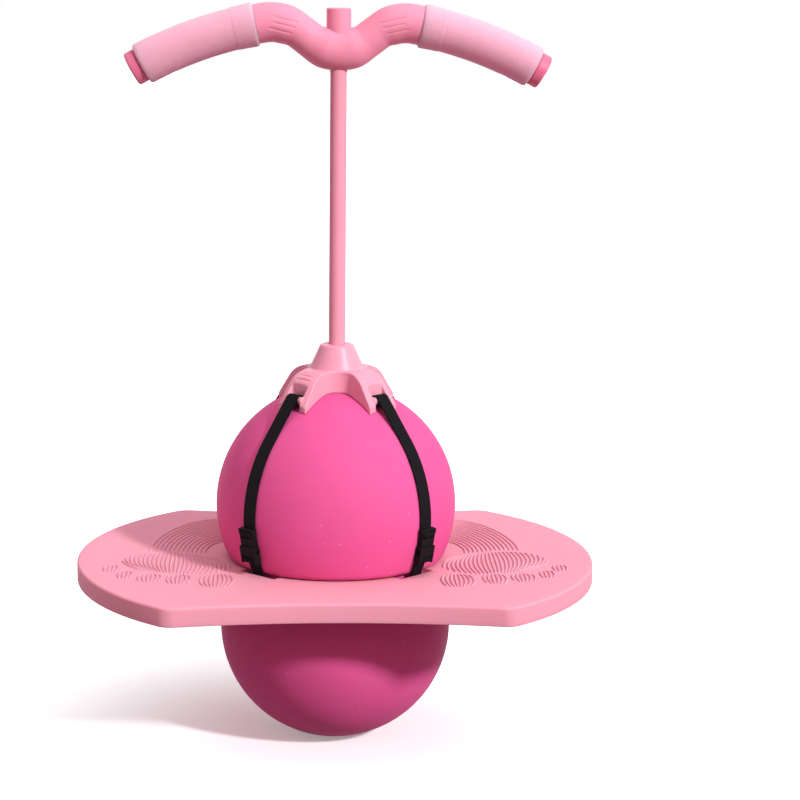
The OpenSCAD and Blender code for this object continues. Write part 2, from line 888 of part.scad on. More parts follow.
// Spring: a strip folded into a V inside the pole, one leg behind the button, one on the far wall
module snap_spring() {
    back = button_face - button_flange_t - fit;
    front = sqrt(pow(pole_bore_r, 2) - pow(spring_w / 2, 2)) - fit;
    top = button_flange_r;
    color("#AEB2B7")
        translate([0, 0, button_z])
            rotate([90, 0, 90])
                linear_extrude(spring_w, center = true)
                    polygon([
                        [back, top],
                        [back - spring_t, top],
                        [-spring_t / 2, 2 * spring_t - spring_l],
                        [spring_t - front, top],
                        [-front, top],
                        [-spring_t, -spring_l],
                        [spring_t / 2, -spring_l]
                    ]);
}

// Round bar bent along an arc in the XZ plane; angles run from the upright towards +X
module bent_bar(r, centre, bend, from, to) {
    translate([centre[0], 0, centre[1]])
        rotate([90, 0, 0])
            rotate([0, 0, 90 - to])
                rotate_extrude(angle = to - from)
                    translate([bend, 0])
                        circle(r);
}

// One half of the handlebar's fat middle past the dip: the slope, the shoulder and the neck to the grip
module bar_half() {
    lap = asin(2 * over / arm_bend_r);
    translate([slope_start[0], 0, slope_start[1]])
        rotate([0, 90 - dip_angle, 0])
            translate([0, 0, -2 * over])
                cylinder(r = bar_r - bar_step, h = slope_l + 4 * over);
    bent_bar(bar_r, shoulder_centre, shoulder_bend_r, -dip_angle, arm_start_angle);
    bent_bar(bar_r - bar_step, arm_centre, arm_bend_r, arm_start_angle - lap, grip_start_angle);
}

// Core of one arm inside its grip, with its bore
module bar_core() {
    difference() {
        bent_bar(core_r, arm_centre, arm_bend_r, arm_start_angle, arm_end_angle);
        at_arm_end()
            translate([0, 0, -stem_l - gap])
                cylinder(r = core_bore_r, h = 2 * stem_l);
    }
}

// Puts a shape on the end of the +X arm, with its Z along the arm's axis
module at_arm_end() {
    translate([arm_end[0], 0, arm_end[1]])
        rotate([0, 90 + arm_end_angle, 0])
            children();
}

// Three slits along the front and the back of the +X shoulder
module shoulder_slits() {
    middle = [shoulder_centre[0] - bar_r / 2, shoulder_centre[1] + shoulder_bend_r];
    for (side = [-1, 1], row = slit_rows)
        translate([middle[0], side * bar_r, middle[1] + row * slit_pitch])
            rotate([0, -slit_tilt, 0])
                cube([slit_l, 2 * slit_d, slit_w], center = true);
}

// The dip in the middle, over the pole
module dip_bar() {
    bent_bar(bar_r + bar_step, [0, dip_bend_r], dip_bend_r, 180 - dip_angle, 180 + dip_angle);
}

module handlebar() {
    color("#F291AB")
        difference() {
            translate([0, 0, dip_z])
                difference() {
                    union() {
                        for (side = [0, 1])
                            mirror([side, 0, 0]) {
                                bar_half();
                                bar_core();
                            }
                        dip_bar();
                        cylinder(r = sleeve_r, h = sleeve_top_z - dip_z);
                    }
                    for (side = [0, 1])
                        mirror([side, 0, 0])
                            shoulder_slits();
                }
            translate([0, 0, pole_top_z - height])
                cylinder(r = pole_r + fit, h = height + gap);
            translate([0, 0, button_z])
                rotate([-90, 0, 0])
                    cylinder(r = button_r + fit, h = 2 * sleeve_r);
        }
}

module grip() {
    color("#F6B3C7")
        translate([0, 0, dip_z])
            difference() {
                bent_bar(grip_r, arm_centre, arm_bend_r, grip_start_angle, arm_end_angle);
                bent_bar(core_r + fit, arm_centre, arm_bend_r, grip_start_angle - 1, arm_end_angle + 1);
            }
}

module right_grip() {
    grip();
}

module left_grip() {
    mirror([1, 0, 0]) grip();
}

// End cap: a rounded disc on the arm's end with a stem in the core
module end_cap() {
    color("#DE6F8D")
        translate([0, 0, dip_z])
            at_arm_end()
                translate([0, 0, fit]) {
                    rotate_extrude() {
                        square([cap_r, cap_l - cap_round]);
                        square([cap_r - cap_round, cap_l]);
                        translate([cap_r - cap_round, cap_l - cap_round])
                            circle(cap_round);
                    }
                    translate([0, 0, -stem_l])
                        cylinder(r = core_bore_r - fit, h = stem_l + over);
                }
}

module right_end_cap() {
    end_cap();
}

module left_end_cap() {
    mirror([1, 0, 0]) end_cap();
}

ball_shell();
valve_seat();
valve_plug();
deck_board();
left_foot_tread();
right_foot_tread();
crown_saddle();
upper_strap(front_left_azimuth);  // front_left_strap
upper_strap(front_right_azimuth);  // front_right_strap
upper_strap(rear_left_azimuth);  // rear_left_strap
upper_strap(rear_right_azimuth);  // rear_right_strap
latch(front_left_azimuth);  // front_left_latch
latch(front_right_azimuth);  // front_right_latch
latch(rear_left_azimuth);  // rear_left_latch
latch(rear_right_azimuth);  // rear_right_latch
buckle(front_left_azimuth);  // front_left_buckle
buckle(front_right_azimuth);  // front_right_buckle
buckle(rear_left_azimuth);  // rear_left_buckle
buckle(rear_right_azimuth);  // rear_right_buckle
deck_loop(front_left_azimuth);  // front_left_loop
deck_loop(front_right_azimuth);  // front_right_loop
deck_loop(rear_left_azimuth);  // rear_left_loop
deck_loop(rear_right_azimuth);  // rear_right_loop
anchor_pin(front_left_azimuth);  // front_left_pin
anchor_pin(front_right_azimuth);  // front_right_pin
anchor_pin(rear_left_azimuth);  // rear_left_pin
anchor_pin(rear_right_azimuth);  // rear_right_pin
pole_tube();
socket_screw();
snap_button();
snap_spring();
handlebar();
left_grip();
right_grip();
left_end_cap();
right_end_cap();
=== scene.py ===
"""Looks of a pogo-style hopper ball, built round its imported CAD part."""

import math

import bmesh
import bpy
import numpy as np
from bpy.props import FloatProperty, FloatVectorProperty, IntProperty, PointerProperty
from mathutils import Matrix, Vector


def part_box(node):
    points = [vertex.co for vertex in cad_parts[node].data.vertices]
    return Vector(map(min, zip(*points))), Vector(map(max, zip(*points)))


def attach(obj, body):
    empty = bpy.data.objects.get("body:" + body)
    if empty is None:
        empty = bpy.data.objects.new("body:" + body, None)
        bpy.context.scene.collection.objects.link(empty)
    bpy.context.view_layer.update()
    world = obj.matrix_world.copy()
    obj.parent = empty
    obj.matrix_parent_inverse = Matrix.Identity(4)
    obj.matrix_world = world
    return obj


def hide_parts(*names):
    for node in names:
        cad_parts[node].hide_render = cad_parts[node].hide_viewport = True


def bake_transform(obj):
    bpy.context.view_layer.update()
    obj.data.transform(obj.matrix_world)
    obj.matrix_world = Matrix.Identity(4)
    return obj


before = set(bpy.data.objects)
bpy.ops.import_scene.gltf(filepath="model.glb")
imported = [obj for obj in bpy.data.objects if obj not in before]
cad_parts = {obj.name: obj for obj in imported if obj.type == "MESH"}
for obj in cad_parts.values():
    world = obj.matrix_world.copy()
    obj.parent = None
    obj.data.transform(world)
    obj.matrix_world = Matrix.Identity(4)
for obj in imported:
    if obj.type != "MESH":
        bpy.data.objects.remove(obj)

bl_info = {
    "name": "Hopper Ball",
    "version": (1, 0, 0),
    "blender": (4, 5, 0),
    "location": "View3D > Sidebar > Hopper Ball",
    "description": "Builds the visible pieces of a hopper ball round its CAD frame",
    "category": "Object",
}

# Azimuths of the straps in degrees, and the signs of the two sides along X
CORNERS = {"front_left": 225.0, "front_right": 315.0, "rear_left": 135.0, "rear_right": 45.0}
SIDES = {"left": -1.0, "right": 1.0}

# Angles in degrees below which a piece's edges are shaded smooth
EDGE_SMOOTH = 40.0
SOFT_SMOOTH = 50.0
DECK_SMOOTH = 38.0
BALL_SMOOTH = 60.0
ALL_SMOOTH = 180.0

# Numbers of grid lines round a piece
BALL_SPOKES = 160
DECK_SPOKES = 480
RING_SPOKES = 240
BAR_SPOKES = 150
CORE_SPOKES = 48
SLEEVE_SPOKES = 64
GRIP_SPOKES = 96
CAP_SPOKES = 72

# Numbers of grid lines along the ball's and the deck's curves
FOOT_STEPS = 4
LOBE_STEPS = 72
FOLD_STEPS = 14
OUTLINE_STEPS = 200
FILLET_STEPS = 60
CORNER_STEPS = 40
TOP_STEPS = 14
EDGE_STEPS = 6
LIP_STEPS = 4
RIDGE_STEPS = 6
TAPER_STEPS = 4

# Numbers of grid lines across the webbing and along the straps and loops
WEB_STEPS = 8
WEB_CORNER_STEPS = 4
EYE_STEPS = 40
RUN_STEPS = 14
BALL_RUN_STEPS = 60
LATCH_STEPS = 26
LOOP_EYE_STEPS = 30
LOOP_RUN_STEPS = 16

# Numbers of grid lines along the handlebar's pieces and the spring
CORE_STEPS = 40
SLEEVE_STEPS = 5
GRIP_STEPS = 150
CAP_STEPS = 7
SPRING_FOLD_STEPS = 9
SPRING_STEPS = 24

# Clean-up of CAD copies: metres at which points merge, degrees below which faces join
WELD = 1e-6
FLAT_TURN = 0.5

# Softening of CAD copies: the saddle's smoothing, the buckles' bevel and the degrees from which it is cut
SOFTEN_SHARE = 0.5
SOFTEN_ROUNDS = 3
BEVEL_STEPS = 2
BEVEL_FROM = 50.0

# Angles in radians: lines beside the corners of a notch, and the least turn between two lines
NOTCH_INSIDE = 0.01
NOTCH_OUTSIDE = 0.004
LEAST_TURN = 2e-4

# Ball and deck: first ring of the flat foot, bend of the hole's lip, and lines on the outer wall
FOOT_RING_SHARE = 0.3
LIP_SHARE = 0.3
WALL_SHARES = (0.3, 0.7)

# Foot tread: places and radii as shares of its length, towards the deck's middle and the back
TOE_SHARES = ((0.145, -0.382, 0.061), (0.017, -0.355, 0.045), (-0.082, -0.336, 0.041),
              (-0.168, -0.289, 0.036), (-0.221, -0.204, 0.032))
SOLE_SHARES = ((-0.055, -0.092), (0.061, -0.136))
SOLE_R_SHARE = 0.136
HEEL_SHARES = ((0.125, 0.050), (0.225, 0.480))
BARE_ARCH_SHARES = ((0.179, 0.043), (0.086, 0.164))

# Foot tread: how toes are drawn out, lines reach past a patch and bow, and the heel's rings
TOE_STRETCH_SHARE = 0.9
LINE_REACH_SHARE = 1.2
TOE_BOW = 0.72
SOLE_BOW = 0.42
HEEL_RINGS = 13
HEEL_POWER = 1.85

# Points in the shortest ridge of a tread
LEAST_RUN = 4

# Webbing's edge as a share of its half thickness
WEB_SOFT_SHARE = 0.8

# Handlebar: slope at which it starts to thin, where its faces start and how soon, and the slits' walls
THIN_SHARE = 0.4
FACE_SHARE = 0.5
FACE_FADE_SHARE = 0.2
SLIT_STEEPNESS = 1.2


def srgb(code):
    """Linear RGB of an sRGB hex colour."""
    parts = [int(code[i:i + 2], 16) / 255 for i in (1, 3, 5)]
    return tuple(c / 12.92 if c <= 0.04045 else ((c + 0.055) / 1.055) ** 2.4 for c in parts)


WHITE = srgb("#ffffff")


def length(label, words, value):
    """A size in metres."""
    return FloatProperty(name=label, description=words, default=value, min=0.0, unit="LENGTH", precision=4)


def angle(label, words, degrees):
    """An angle, given in degrees and kept in radians."""
    value = math.radians(degrees)
    return FloatProperty(name=label, description=words, default=value, subtype="ANGLE", unit="ROTATION")


def number(label, words, value, unit="NONE"):
    """A plain number, or one in millimetres for the camera's unit."""
    return FloatProperty(name=label, description=words, default=value, min=0.0, unit=unit, precision=3)


def triple(label, words, values, unit="LENGTH"):
    """Three values, in metres unless the unit says otherwise."""
    return FloatVectorProperty(name=label, description=words, default=values, size=3, unit=unit, precision=4)


def paint(label, words, code):
    """A colour, given as an sRGB hex code."""
    return FloatVectorProperty(
        name=label, description=words, default=srgb(code), size=3, subtype="COLOR", min=0.0, max=1.0
    )


class HopperSizes(bpy.types.PropertyGroup):
    """Sizes of the visible pieces, in the CAD part's frame."""

    ball_r: length("Upper lobe radius", "Radius of the ball's upper lobe", 0.1172)
    lower_r: length("Lower lobe radius", "Radius of the ball's lower lobe", 0.113)
    contact_r: length("Contact radius", "Radius of the flat patch that the ball stands on", 0.022)
    lower_z: length("Lower lobe height", "Height of the lower lobe's centre", 0.110838)
    upper_z: length("Upper lobe height", "Height of the upper lobe's centre", 0.232038)
    gap: length("Gap", "Gap between the ball and what lies on it", 0.0003)
    deck_bottom: length("Deck underside", "Height of the deck's underside", 0.160038)
    deck_top: length("Deck top", "Height of the deck's top", 0.178538)
    hole_r: length("Hole radius", "Radius of the deck's hole", 0.098377)
    deck_r: length("Deck radius", "Radius of the deck's round ends", 0.253)
    deck_half_depth: length("Deck half depth", "Depth from the middle to the front edge's middle", 0.1815)
    deck_edge_r: length("Edge curve", "Radius of the hollow curve of the front and back edges", 0.8)
    deck_corner_r: length("Corner radius", "Radius of the deck's corners", 0.018)
    deck_round: length("Edge rounding", "Rounding of the deck's upper edge", 0.0024)
    deck_plate_t: length("Plate thickness", "Thickness of the deck's top plate", 0.0045)
    deck_wall_t: length("Wall thickness", "Thickness of the deck's outer wall", 0.004)
    deck_rib_t: length("Rib thickness", "Thickness of the ribs under the deck", 0.0035)
    deck_ring_r: length("Ring rib radius", "Radius of the round rib under the deck", 0.175)
    notch_w: length("Notch width", "Width of the notches for the deck loops", 0.046)
    notch_d: length("Notch depth", "Depth of the notches from the hole's edge", 0.0095)
    foot_l: length("Foot length", "Length of a foot tread", 0.280)
    foot_x: length("Foot offset", "Distance of a foot tread from the deck's middle", 0.155)
    ridge_pitch: length("Ridge pitch", "Distance between the ridges of a tread", 0.0044)
    ridge_w: length("Ridge width", "Width of a ridge", 0.0020)
    ridge_h: length("Ridge height", "Height of a ridge", 0.0014)
    tread_margin: length("Tread margin", "Bare edge between a tread and the deck's hole", 0.010)
    tread_step: length("Tread step", "Length of a tread line's segments", 0.0011)
    deck_lip: length("Lip rounding", "Rounding of the deck's other edges", 0.001)
    deck_sink: length("Sink", "How far ribs and ridges sink into the deck", 0.0005)
    notch_wall: length("Notch wall", "Wall round the notches for the deck loops", 0.003)
    strap_bar_r: length("Strap bar radius", "Radius of the bars that the straps loop round", 0.004)
    web_bar_r: length("Web bar radius", "Radius of the bars inside the buckles", 0.0019)
    latch_bar: length(
        "Latch bar place", "Distance of a latch's bar from where the buckle's halves meet", 0.012
    )
    buckle_bar: length("Buckle bar place", "Distance of a buckle's bar from where its halves meet", 0.0138)
    buckle_t: length("Buckle thickness", "Thickness of a buckle", 0.007)
    buckle_soft: length("Buckle rounding", "Rounding of the buckles' edges", 0.0006)
    pin_r: length("Pin radius", "Radius of the anchor pins under the deck", 0.0025)
    pin_offset: length("Pin offset", "Distance of the anchor pins from the hole's edge", 0.008)
    pin_depth: length("Pin depth", "Depth of the anchor pins below the deck's top", 0.0105)
    strap_slack: length("Strap slack", "Gap between a strap and the skin it lies on", 0.0001)
    strap_low: length(
        "Strap's fixed end", "Depth below the upper lobe's middle where a strap stays with the deck", 0.005
    )
    strap_high: length(
        "Strap's moving end", "Height above that middle where a strap moves with the handle", 0.105
    )
    web_w: length("Webbing width", "Width of the webbing", 0.015)
    web_t: length("Webbing thickness", "Thickness of the webbing", 0.0015)
    bar_r: length("Handlebar radius", "Radius of the handlebar's bends", 0.0188)
    dip_r: length("Dip radius", "Radius of the handlebar in its dip", 0.0197)
    bar_slope_r: length("Handlebar slope radius", "Radius of the handlebar between its bends", 0.0170)
    dip_bend_r: length("Dip bend", "Radius of the dip along the handlebar's axis", 0.045)
    shoulder_bend_r: length("Shoulder bend", "Radius of the shoulders along the handlebar's axis", 0.045)
    slope_l: length("Slope length", "Length of the straight slope between the dip and a shoulder", 0.012)
    arm_bend_r: length("Arm bend", "Radius of the arms' gentle bend", 0.380)
    bar_top: length("Handlebar top", "Height of the shoulders' tops", 0.717)
    sleeve_r: length("Sleeve radius", "Radius of the sleeve over the pole", 0.0117)
    sleeve_top: length("Sleeve top", "Height of the sleeve's top", 0.712)
    sleeve_soft: length("Sleeve rounding", "Rounding of the sleeve's rim", 0.0012)
    slit_w: length("Slit width", "Half width of the slits in the shoulders", 0.0013)
    slit_d: length("Slit depth", "Depth of the slits in the shoulders", 0.0006)
    upper_slit: triple(
        "Upper slit", "Its distance out, height over the shoulder and half length", (0.0510, -0.0157, 0.0120)
    )
    middle_slit: triple(
        "Middle slit", "Its distance out, height over the shoulder and half length", (0.0515, -0.0210, 0.0100)
    )
    lower_slit: triple(
        "Lower slit", "Its distance out, height over the shoulder and half length", (0.0555, -0.0262, 0.0100)
    )
    bar_step: length("Handlebar step", "Length of the handlebar's segments along its axis", 0.0011)
    grip_r: length("Grip radius", "Radius of a foam grip", 0.020)
    grip_soft: length("Grip rounding", "Rounding of a grip's ends", 0.003)
    inner_cuff: length("Inner cuff", "Length of the cuff at a grip's inner end", 0.0225)
    outer_cuff: length("Outer cuff", "Length of the cuff at a grip's outer end", 0.0215)
    inner_step: length("Inner step", "Height of the inner cuff above the grip", 0.0005)
    outer_step: length("Outer step", "Height of the outer cuff above the grip", 0.0002)
    cuff_flare: length("Cuff flare", "How far the inner cuff widens to its end", 0.0006)
    cuff_seam: length("Cuff seam", "Length of the soft step at a cuff", 0.002)
    core_r: length("Core radius", "Radius of the core inside a grip", 0.0135)
    cap_r: length("End cap radius", "Radius of an end cap", 0.0166)
    cap_l: length("End cap length", "Length of an end cap beyond its grip", 0.0105)
    cap_soft: length("Cap rounding", "Rounding of an end cap's face", 0.0022)
    cap_back: length("Cap back rounding", "Chamfer of an end cap's back", 0.0012)
    cap_rim: length("Cap rim", "Width of the rim round an end cap's dish", 0.004)
    cap_dish: length("Cap dish", "Depth of the dish in an end cap", 0.001)
    spring_t: length("Spring thickness", "Thickness of the snap spring's strip", 0.0008)
    voxel: length("Saddle voxel", "Cell size that softens the saddle's edges", 0.0007)
    strap_polar: angle("Strap bar angle", "Angle of the saddle's strap bars from the crown", 27.5)
    buckle_polar: angle("Buckle angle", "Angle from the crown at which the buckles' halves meet", 101.0)
    eye_turn: angle("Strap eye", "How far a strap's eye goes round the saddle's bar", 330.0)
    loop_turn: angle("Loop eye", "How far the loops' eyes go round their bars", 320.0)
    latch_turn: angle("Latch eye", "How far a strap's end goes round the latch's bar past its top", 120.0)
    slit_tilt: angle("Slit tilt", "Slope of the slits in the shoulders", 13.0)
    dip_angle: angle("Dip slope", "Slope between the dip and a shoulder", 37.0)
    arm_start: angle("Arm start slope", "Slope of the arms where they leave the shoulders", 10.0)
    grip_start: angle("Grip start slope", "Slope at which the grips begin", 11.0)
    arm_end: angle("Arm end slope", "Slope of the arms at their ends", 28.5)
    ribs: IntProperty(name="Ribs", description="Number of radial ribs under the deck", default=12, min=3)


class HopperColours(bpy.types.PropertyGroup):
    """Colours of the materials, the floor's glow of painted light in its shadows, and the sky."""

    ball: paint("Ball", "Colour of the ball's skin", "#d65691")
    deck: paint("Deck", "Colour of the moulded deck", "#dc96a7")
    saddle: paint("Saddle", "Colour of the moulded saddle", "#e09aad")
    bar: paint("Handlebar", "Colour of the moulded handlebar", "#e892aa")
    pole: paint("Pole", "Colour of the pole's coating", "#e59bad")
    grip: paint("Grip", "Colour of the foam grips", "#dba8ba")
    cap: paint("End cap", "Colour of the end caps", "#d6708f")
    web: paint("Webbing", "Colour of the webbing", "#0f0c10")
    buckle: paint("Buckle", "Colour of the buckles", "#0f0d10")
    steel: paint("Steel", "Colour of the zinc-plated steel", "#b9bcc0")
    floor: paint("Floor", "Colour of the studio floor", "#f4f3f4")
    bounce: paint("Floor's bounce", "Colour of the light that the floor throws back up", "#89767a")
    # painted light: the colours of a glow, seen only by the camera, that thins and tints the floor's shadow
    # near and away from the ball
    painted_shadow_near: paint("Near glow", "Glow of the floor in the shadow near the ball", "#968f91")
    painted_shadow_far: paint("Far glow", "Glow of the floor in the shadow away from the ball", "#a4bcb9")
    sky_low: paint("Horizon", "Colour of the sky's light at the horizon", "#ffadbc")
    sky_high: paint("Zenith", "Colour of the sky's light overhead", "#fff9fc")


class HopperStage(bpy.types.PropertyGroup):
    """Floor, light and camera of the studio."""

    floor_reach: length("Floor reach", "Distance from the middle to the floor's edges", 12.0)
    # distances over which the floor's painted light in its shadows changes from its near colour to its far
    # colour
    shade_r: length("Near glow's end", "Distance from the middle where the near glow starts to change", 0.1)
    fade_r: length("Far glow's start", "Distance from the middle where the far glow is reached", 0.32)
    key_from: triple(
        "Key direction", "Direction that the key light comes from", (0.588, -0.630, 0.508), "NONE"
    )
    key_light: number("Key light", "Light of the key on a white face turned to it", 1.08)
    key_angle: angle("Key angle", "Width of the key light as the object sees it", 5.5)
    sky_low: number("Horizon light", "Strength of the sky at the horizon", 0.16)
    sky_high: number("Zenith light", "Strength of the sky overhead", 1.3)
    camera_place: triple("Camera place", "Where the camera stands", (-0.0472, -2.3644, 0.7796))
    camera_aim: triple("Camera aim", "Where the camera looks", (0.0619, 0.0, 0.3344))
    camera_roll: angle("Camera roll", "Turn of the camera about its view", 0.623)
    lens: number("Lens", "Focal length in millimetres", 111.0, "CAMERA")
    sensor: number("Sensor", "Width of the sensor in millimetres", 36.0, "CAMERA")


# Mesh helpers


def grid_faces(rows, columns, wrap_rows=False, wrap_columns=False):
    """Quads of a grid of points, as indices; a wrapped direction joins its last line to its first."""
    r = np.arange(rows if wrap_rows else rows - 1)
    c = np.arange(columns if wrap_columns else columns - 1)
    a, b = np.meshgrid(r, c, indexing="ij")
    up, over = (a + 1) % rows, (b + 1) % columns
    quads = np.stack([a * columns + b, up * columns + b, up * columns + over, a * columns + over], axis=-1)
    return [tuple(q) for q in quads.reshape(-1, 4).tolist()]


def tube(points):
    """Points, faces and UVs of a closed tube from a grid of rings (ring, place round it), with flat ends.

    The UVs run round each ring and along the rings, in metres."""
    rows, columns, _ = points.shape
    ring = np.roll(points, -1, axis=1) - points
    around = np.cumsum(np.linalg.norm(ring, axis=2), axis=1)
    around = np.concatenate([np.zeros((rows, 1)), around[:, :-1]], axis=1)
    middle = points.mean(axis=1)
    step = np.linalg.norm(np.diff(middle, axis=0), axis=1)
    along = np.concatenate([[0.0], np.cumsum(step)])[:, None] + np.zeros((rows, columns))
    faces = grid_faces(rows, columns, wrap_columns=True)
    faces += [tuple(range(columns))[::-1], tuple(range((rows - 1) * columns, rows * columns))]
    return points.reshape(-1, 3), faces, np.stack([around, along], axis=2).reshape(-1, 2)


def lathe(radius, height, count):
    """Points, faces and UVs of a profile turned round Z: x = r cos t, y = r sin t, z = height.

    The profile's first and last radius are 0, so both ends close in a point."""
    t = np.linspace(0, 2 * np.pi, count, endpoint=False)
    r, z = np.asarray(radius)[1:-1], np.asarray(height)[1:-1]
    rows = np.stack([np.outer(r, np.cos(t)), np.outer(r, np.sin(t)), np.repeat(z[:, None], count, 1)], axis=2)
    points = np.concatenate([rows.reshape(-1, 3), [[0, 0, height[0]], [0, 0, height[-1]]]])
    faces = grid_faces(len(r), count, wrap_columns=True)
    low, high = len(points) - 2, len(points) - 1
    last = (len(r) - 1) * count
    faces += [(low, (i + 1) % count, i) for i in range(count)]
    faces += [(high, last + i, last + (i + 1) % count) for i in range(count)]
    return points, faces, points[:, :2].copy()


def joined(parts):
    """Several parts of points, faces and UVs as one."""
    points, faces, uvs, start = [], [], [], 0
    for p, f, w in parts:
        points.append(p)
        uvs.append(w)
        faces += [tuple(i + start for i in face) for face in f]
        start += len(p)
    return np.concatenate(points), faces, np.concatenate(uvs)


def piece(name, part, material, sharp=EDGE_SMOOTH):
    """A mesh object from points, faces and UVs, with its faces turned outwards and smooth below an angle."""
    points, faces, uvs = part
    mesh = bpy.data.meshes.new(name)
    mesh.from_pydata(points.tolist(), [], faces)
    layer = mesh.uv_layers.new(name="UVMap")
    corners = np.empty(len(mesh.loops), dtype=np.int32)
    mesh.loops.foreach_get("vertex_index", corners)
    layer.data.foreach_set("uv", np.asarray(uvs, dtype=np.float32)[corners].ravel())
    return finished(name, mesh, material, sharp)


def finished(name, mesh, material, sharp):
    """An object of a mesh in the scene, faces outwards, smooth below an angle in degrees."""
    work = bmesh.new()
    work.from_mesh(mesh)
    bmesh.ops.recalc_face_normals(work, faces=work.faces)
    work.to_mesh(mesh)
    work.free()
    mesh.shade_smooth()
    mesh.set_sharp_from_angle(angle=math.radians(sharp))
    mesh.materials.clear()
    mesh.materials.append(material)
    made = bpy.data.objects.new(name, mesh)
    bpy.context.scene.collection.objects.link(made)
    return made


def cad_copy(name, node, material, sharp=EDGE_SMOOTH):
    """An object from a merged copy of a CAD node, with flat faces whole again."""
    work = bmesh.new()
    work.from_mesh(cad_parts[node].data)
    bmesh.ops.remove_doubles(work, verts=work.verts, dist=WELD)
    flat = math.radians(FLAT_TURN)
    bmesh.ops.dissolve_limit(work, angle_limit=flat, verts=work.verts, edges=work.edges)
    mesh = bpy.data.meshes.new(name)
    work.to_mesh(mesh)
    work.free()
    return finished(name, mesh, material, sharp)


def applied(made):
    """Bakes an object's modifiers into its mesh."""
    graph = bpy.context.evaluated_depsgraph_get()
    mesh = bpy.data.meshes.new_from_object(made.evaluated_get(graph))
    made.modifiers.clear()
    made.data = mesh


def smoothstep(value):
    """0 below 0, 1 above 1, and a smooth S between."""
    t = np.clip(value, 0.0, 1.0)
    return t * t * (3 - 2 * t)


def wrap_nodes(material, *nodes):
    """Gives CAD nodes that stay in view a material."""
    for node in nodes:
        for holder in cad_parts[node].material_slots:
            holder.material = material


# Materials


def wired(tree, node, *values, **settings):
    """A shader node, made here if only its kind is given, with its settings and links.

    Values go to its inputs in order, settings to what they name, with _ for a space. A socket is linked."""
    made = tree.nodes.new(node) if isinstance(node, str) else node
    targets = list(zip(made.inputs, values))
    for key, value in settings.items():
        name = key.replace("_", " ")
        if name in made.inputs:
            targets.append((made.inputs[name], value))
        else:
            setattr(made, key, value)
    for target, value in targets:
        if isinstance(value, bpy.types.NodeSocket):
            tree.links.new(value, target)
        else:
            target.default_value = value
    return made


def shader(name):
    """A new material with its tree and its Principled shader."""
    material = bpy.data.materials.new(name)
    material.use_nodes = True
    tree = material.node_tree
    return material, tree, tree.nodes["Principled BSDF"]


def rgba(colour, share=1.0):
    """A share of a linear colour, no brighter than white, as a socket takes it."""
    return (*(min(1.0, c * share) for c in colour), 1.0)


def grain(tree, size, detail=2.0):
    """Noise with spots of a size in metres, in the part's own frame."""
    place = wired(tree, "ShaderNodeTexCoord").outputs["Object"]
    return wired(tree, "ShaderNodeTexNoise", Vector=place, Scale=1 / size, Detail=detail).outputs["Fac"]


def cloudy(tree, colour, size, low, high, detail=2.0):
    """A colour that drifts between two shares of itself over spots of a size in metres."""
    drift = wired(tree, "ShaderNodeMix", data_type="RGBA", Factor=grain(tree, size, detail),
                  A=rgba(colour, low), B=rgba(colour, high))
    return drift.outputs["Result"]


def uneven(tree, size, low, high, detail=2.0):
    """A roughness that drifts between two values over spots of a size in metres."""
    drift = wired(tree, "ShaderNodeMapRange", Value=grain(tree, size, detail), To_Min=low, To_Max=high)
    return drift.outputs["Result"]


def pitted(tree, size, depth, detail=1.0):
    """A normal tilted by pits of a size and a depth in metres."""
    return wired(tree, "ShaderNodeBump", Height=grain(tree, size, detail), Distance=depth).outputs["Normal"]


def background_rays(tree):
    """1 for the rays that show the background: the camera's, and mirrored and transmitted ones."""
    path = wired(tree, "ShaderNodeLightPath").outputs
    shown = path["Is Camera Ray"]
    for kind in ("Is Glossy Ray", "Is Transmission Ray"):
        shown = wired(tree, "ShaderNodeMath", shown, path[kind], operation="MAXIMUM").outputs[0]
    return shown


def ball_pvc(colour):
    """Rotocast soft PVC: a smooth skin with a faint cloudiness, a broad soft shine and a few raised specks
    with painted glints.
    """
    material, tree, bsdf = shader("rotocast_pvc_skin")
    speck_cell, speck_rise, painted_glint_share = 0.016, 0.0001, 0.2
    speck_core_share, speck_rim_share = 0.02, 0.06
    # cloudiness over a few centimetres keeps the large lobe from looking like flat paint
    skin = cloudy(tree, colour, size=0.035, low=0.93, high=1.06, detail=3.0)
    # moulding specks, some centimetres apart, stand up a little; their paler colour is a painted glint
    place = wired(tree, "ShaderNodeTexCoord").outputs["Object"]
    cells = wired(tree, "ShaderNodeTexVoronoi", Vector=place, Scale=1 / speck_cell).outputs["Distance"]
    specks = wired(tree, "ShaderNodeMapRange", Value=cells, From_Min=speck_core_share,
                   From_Max=speck_rim_share, To_Min=1.0, To_Max=0.0).outputs["Result"]
    # painted highlight: each speck's colour is mixed a share towards white, standing in for a glint
    painted_glint = wired(tree, "ShaderNodeMapRange", Value=specks, To_Max=painted_glint_share).outputs["Result"]
    skin_with_painted_glints = wired(tree, "ShaderNodeMix", data_type="RGBA", Factor=painted_glint, A=skin, B=rgba(WHITE))
    fine = pitted(tree, size=0.0012, depth=0.00004, detail=2.0)
    raised = wired(tree, "ShaderNodeBump", Height=specks, Distance=speck_rise, Normal=fine)
    # light spreads a few millimetres in the soft skin, the red of it farthest
    wired(tree, bsdf, Base_Color=skin_with_painted_glints.outputs["Result"], Normal=raised.outputs["Normal"],
          Roughness=uneven(tree, size=0.006, low=0.60, high=0.70, detail=3.0), Specular_IOR_Level=0.16,
          Subsurface_Weight=0.15, Subsurface_Scale=1.0, Subsurface_Radius=(0.020, 0.002, 0.003))
    return material


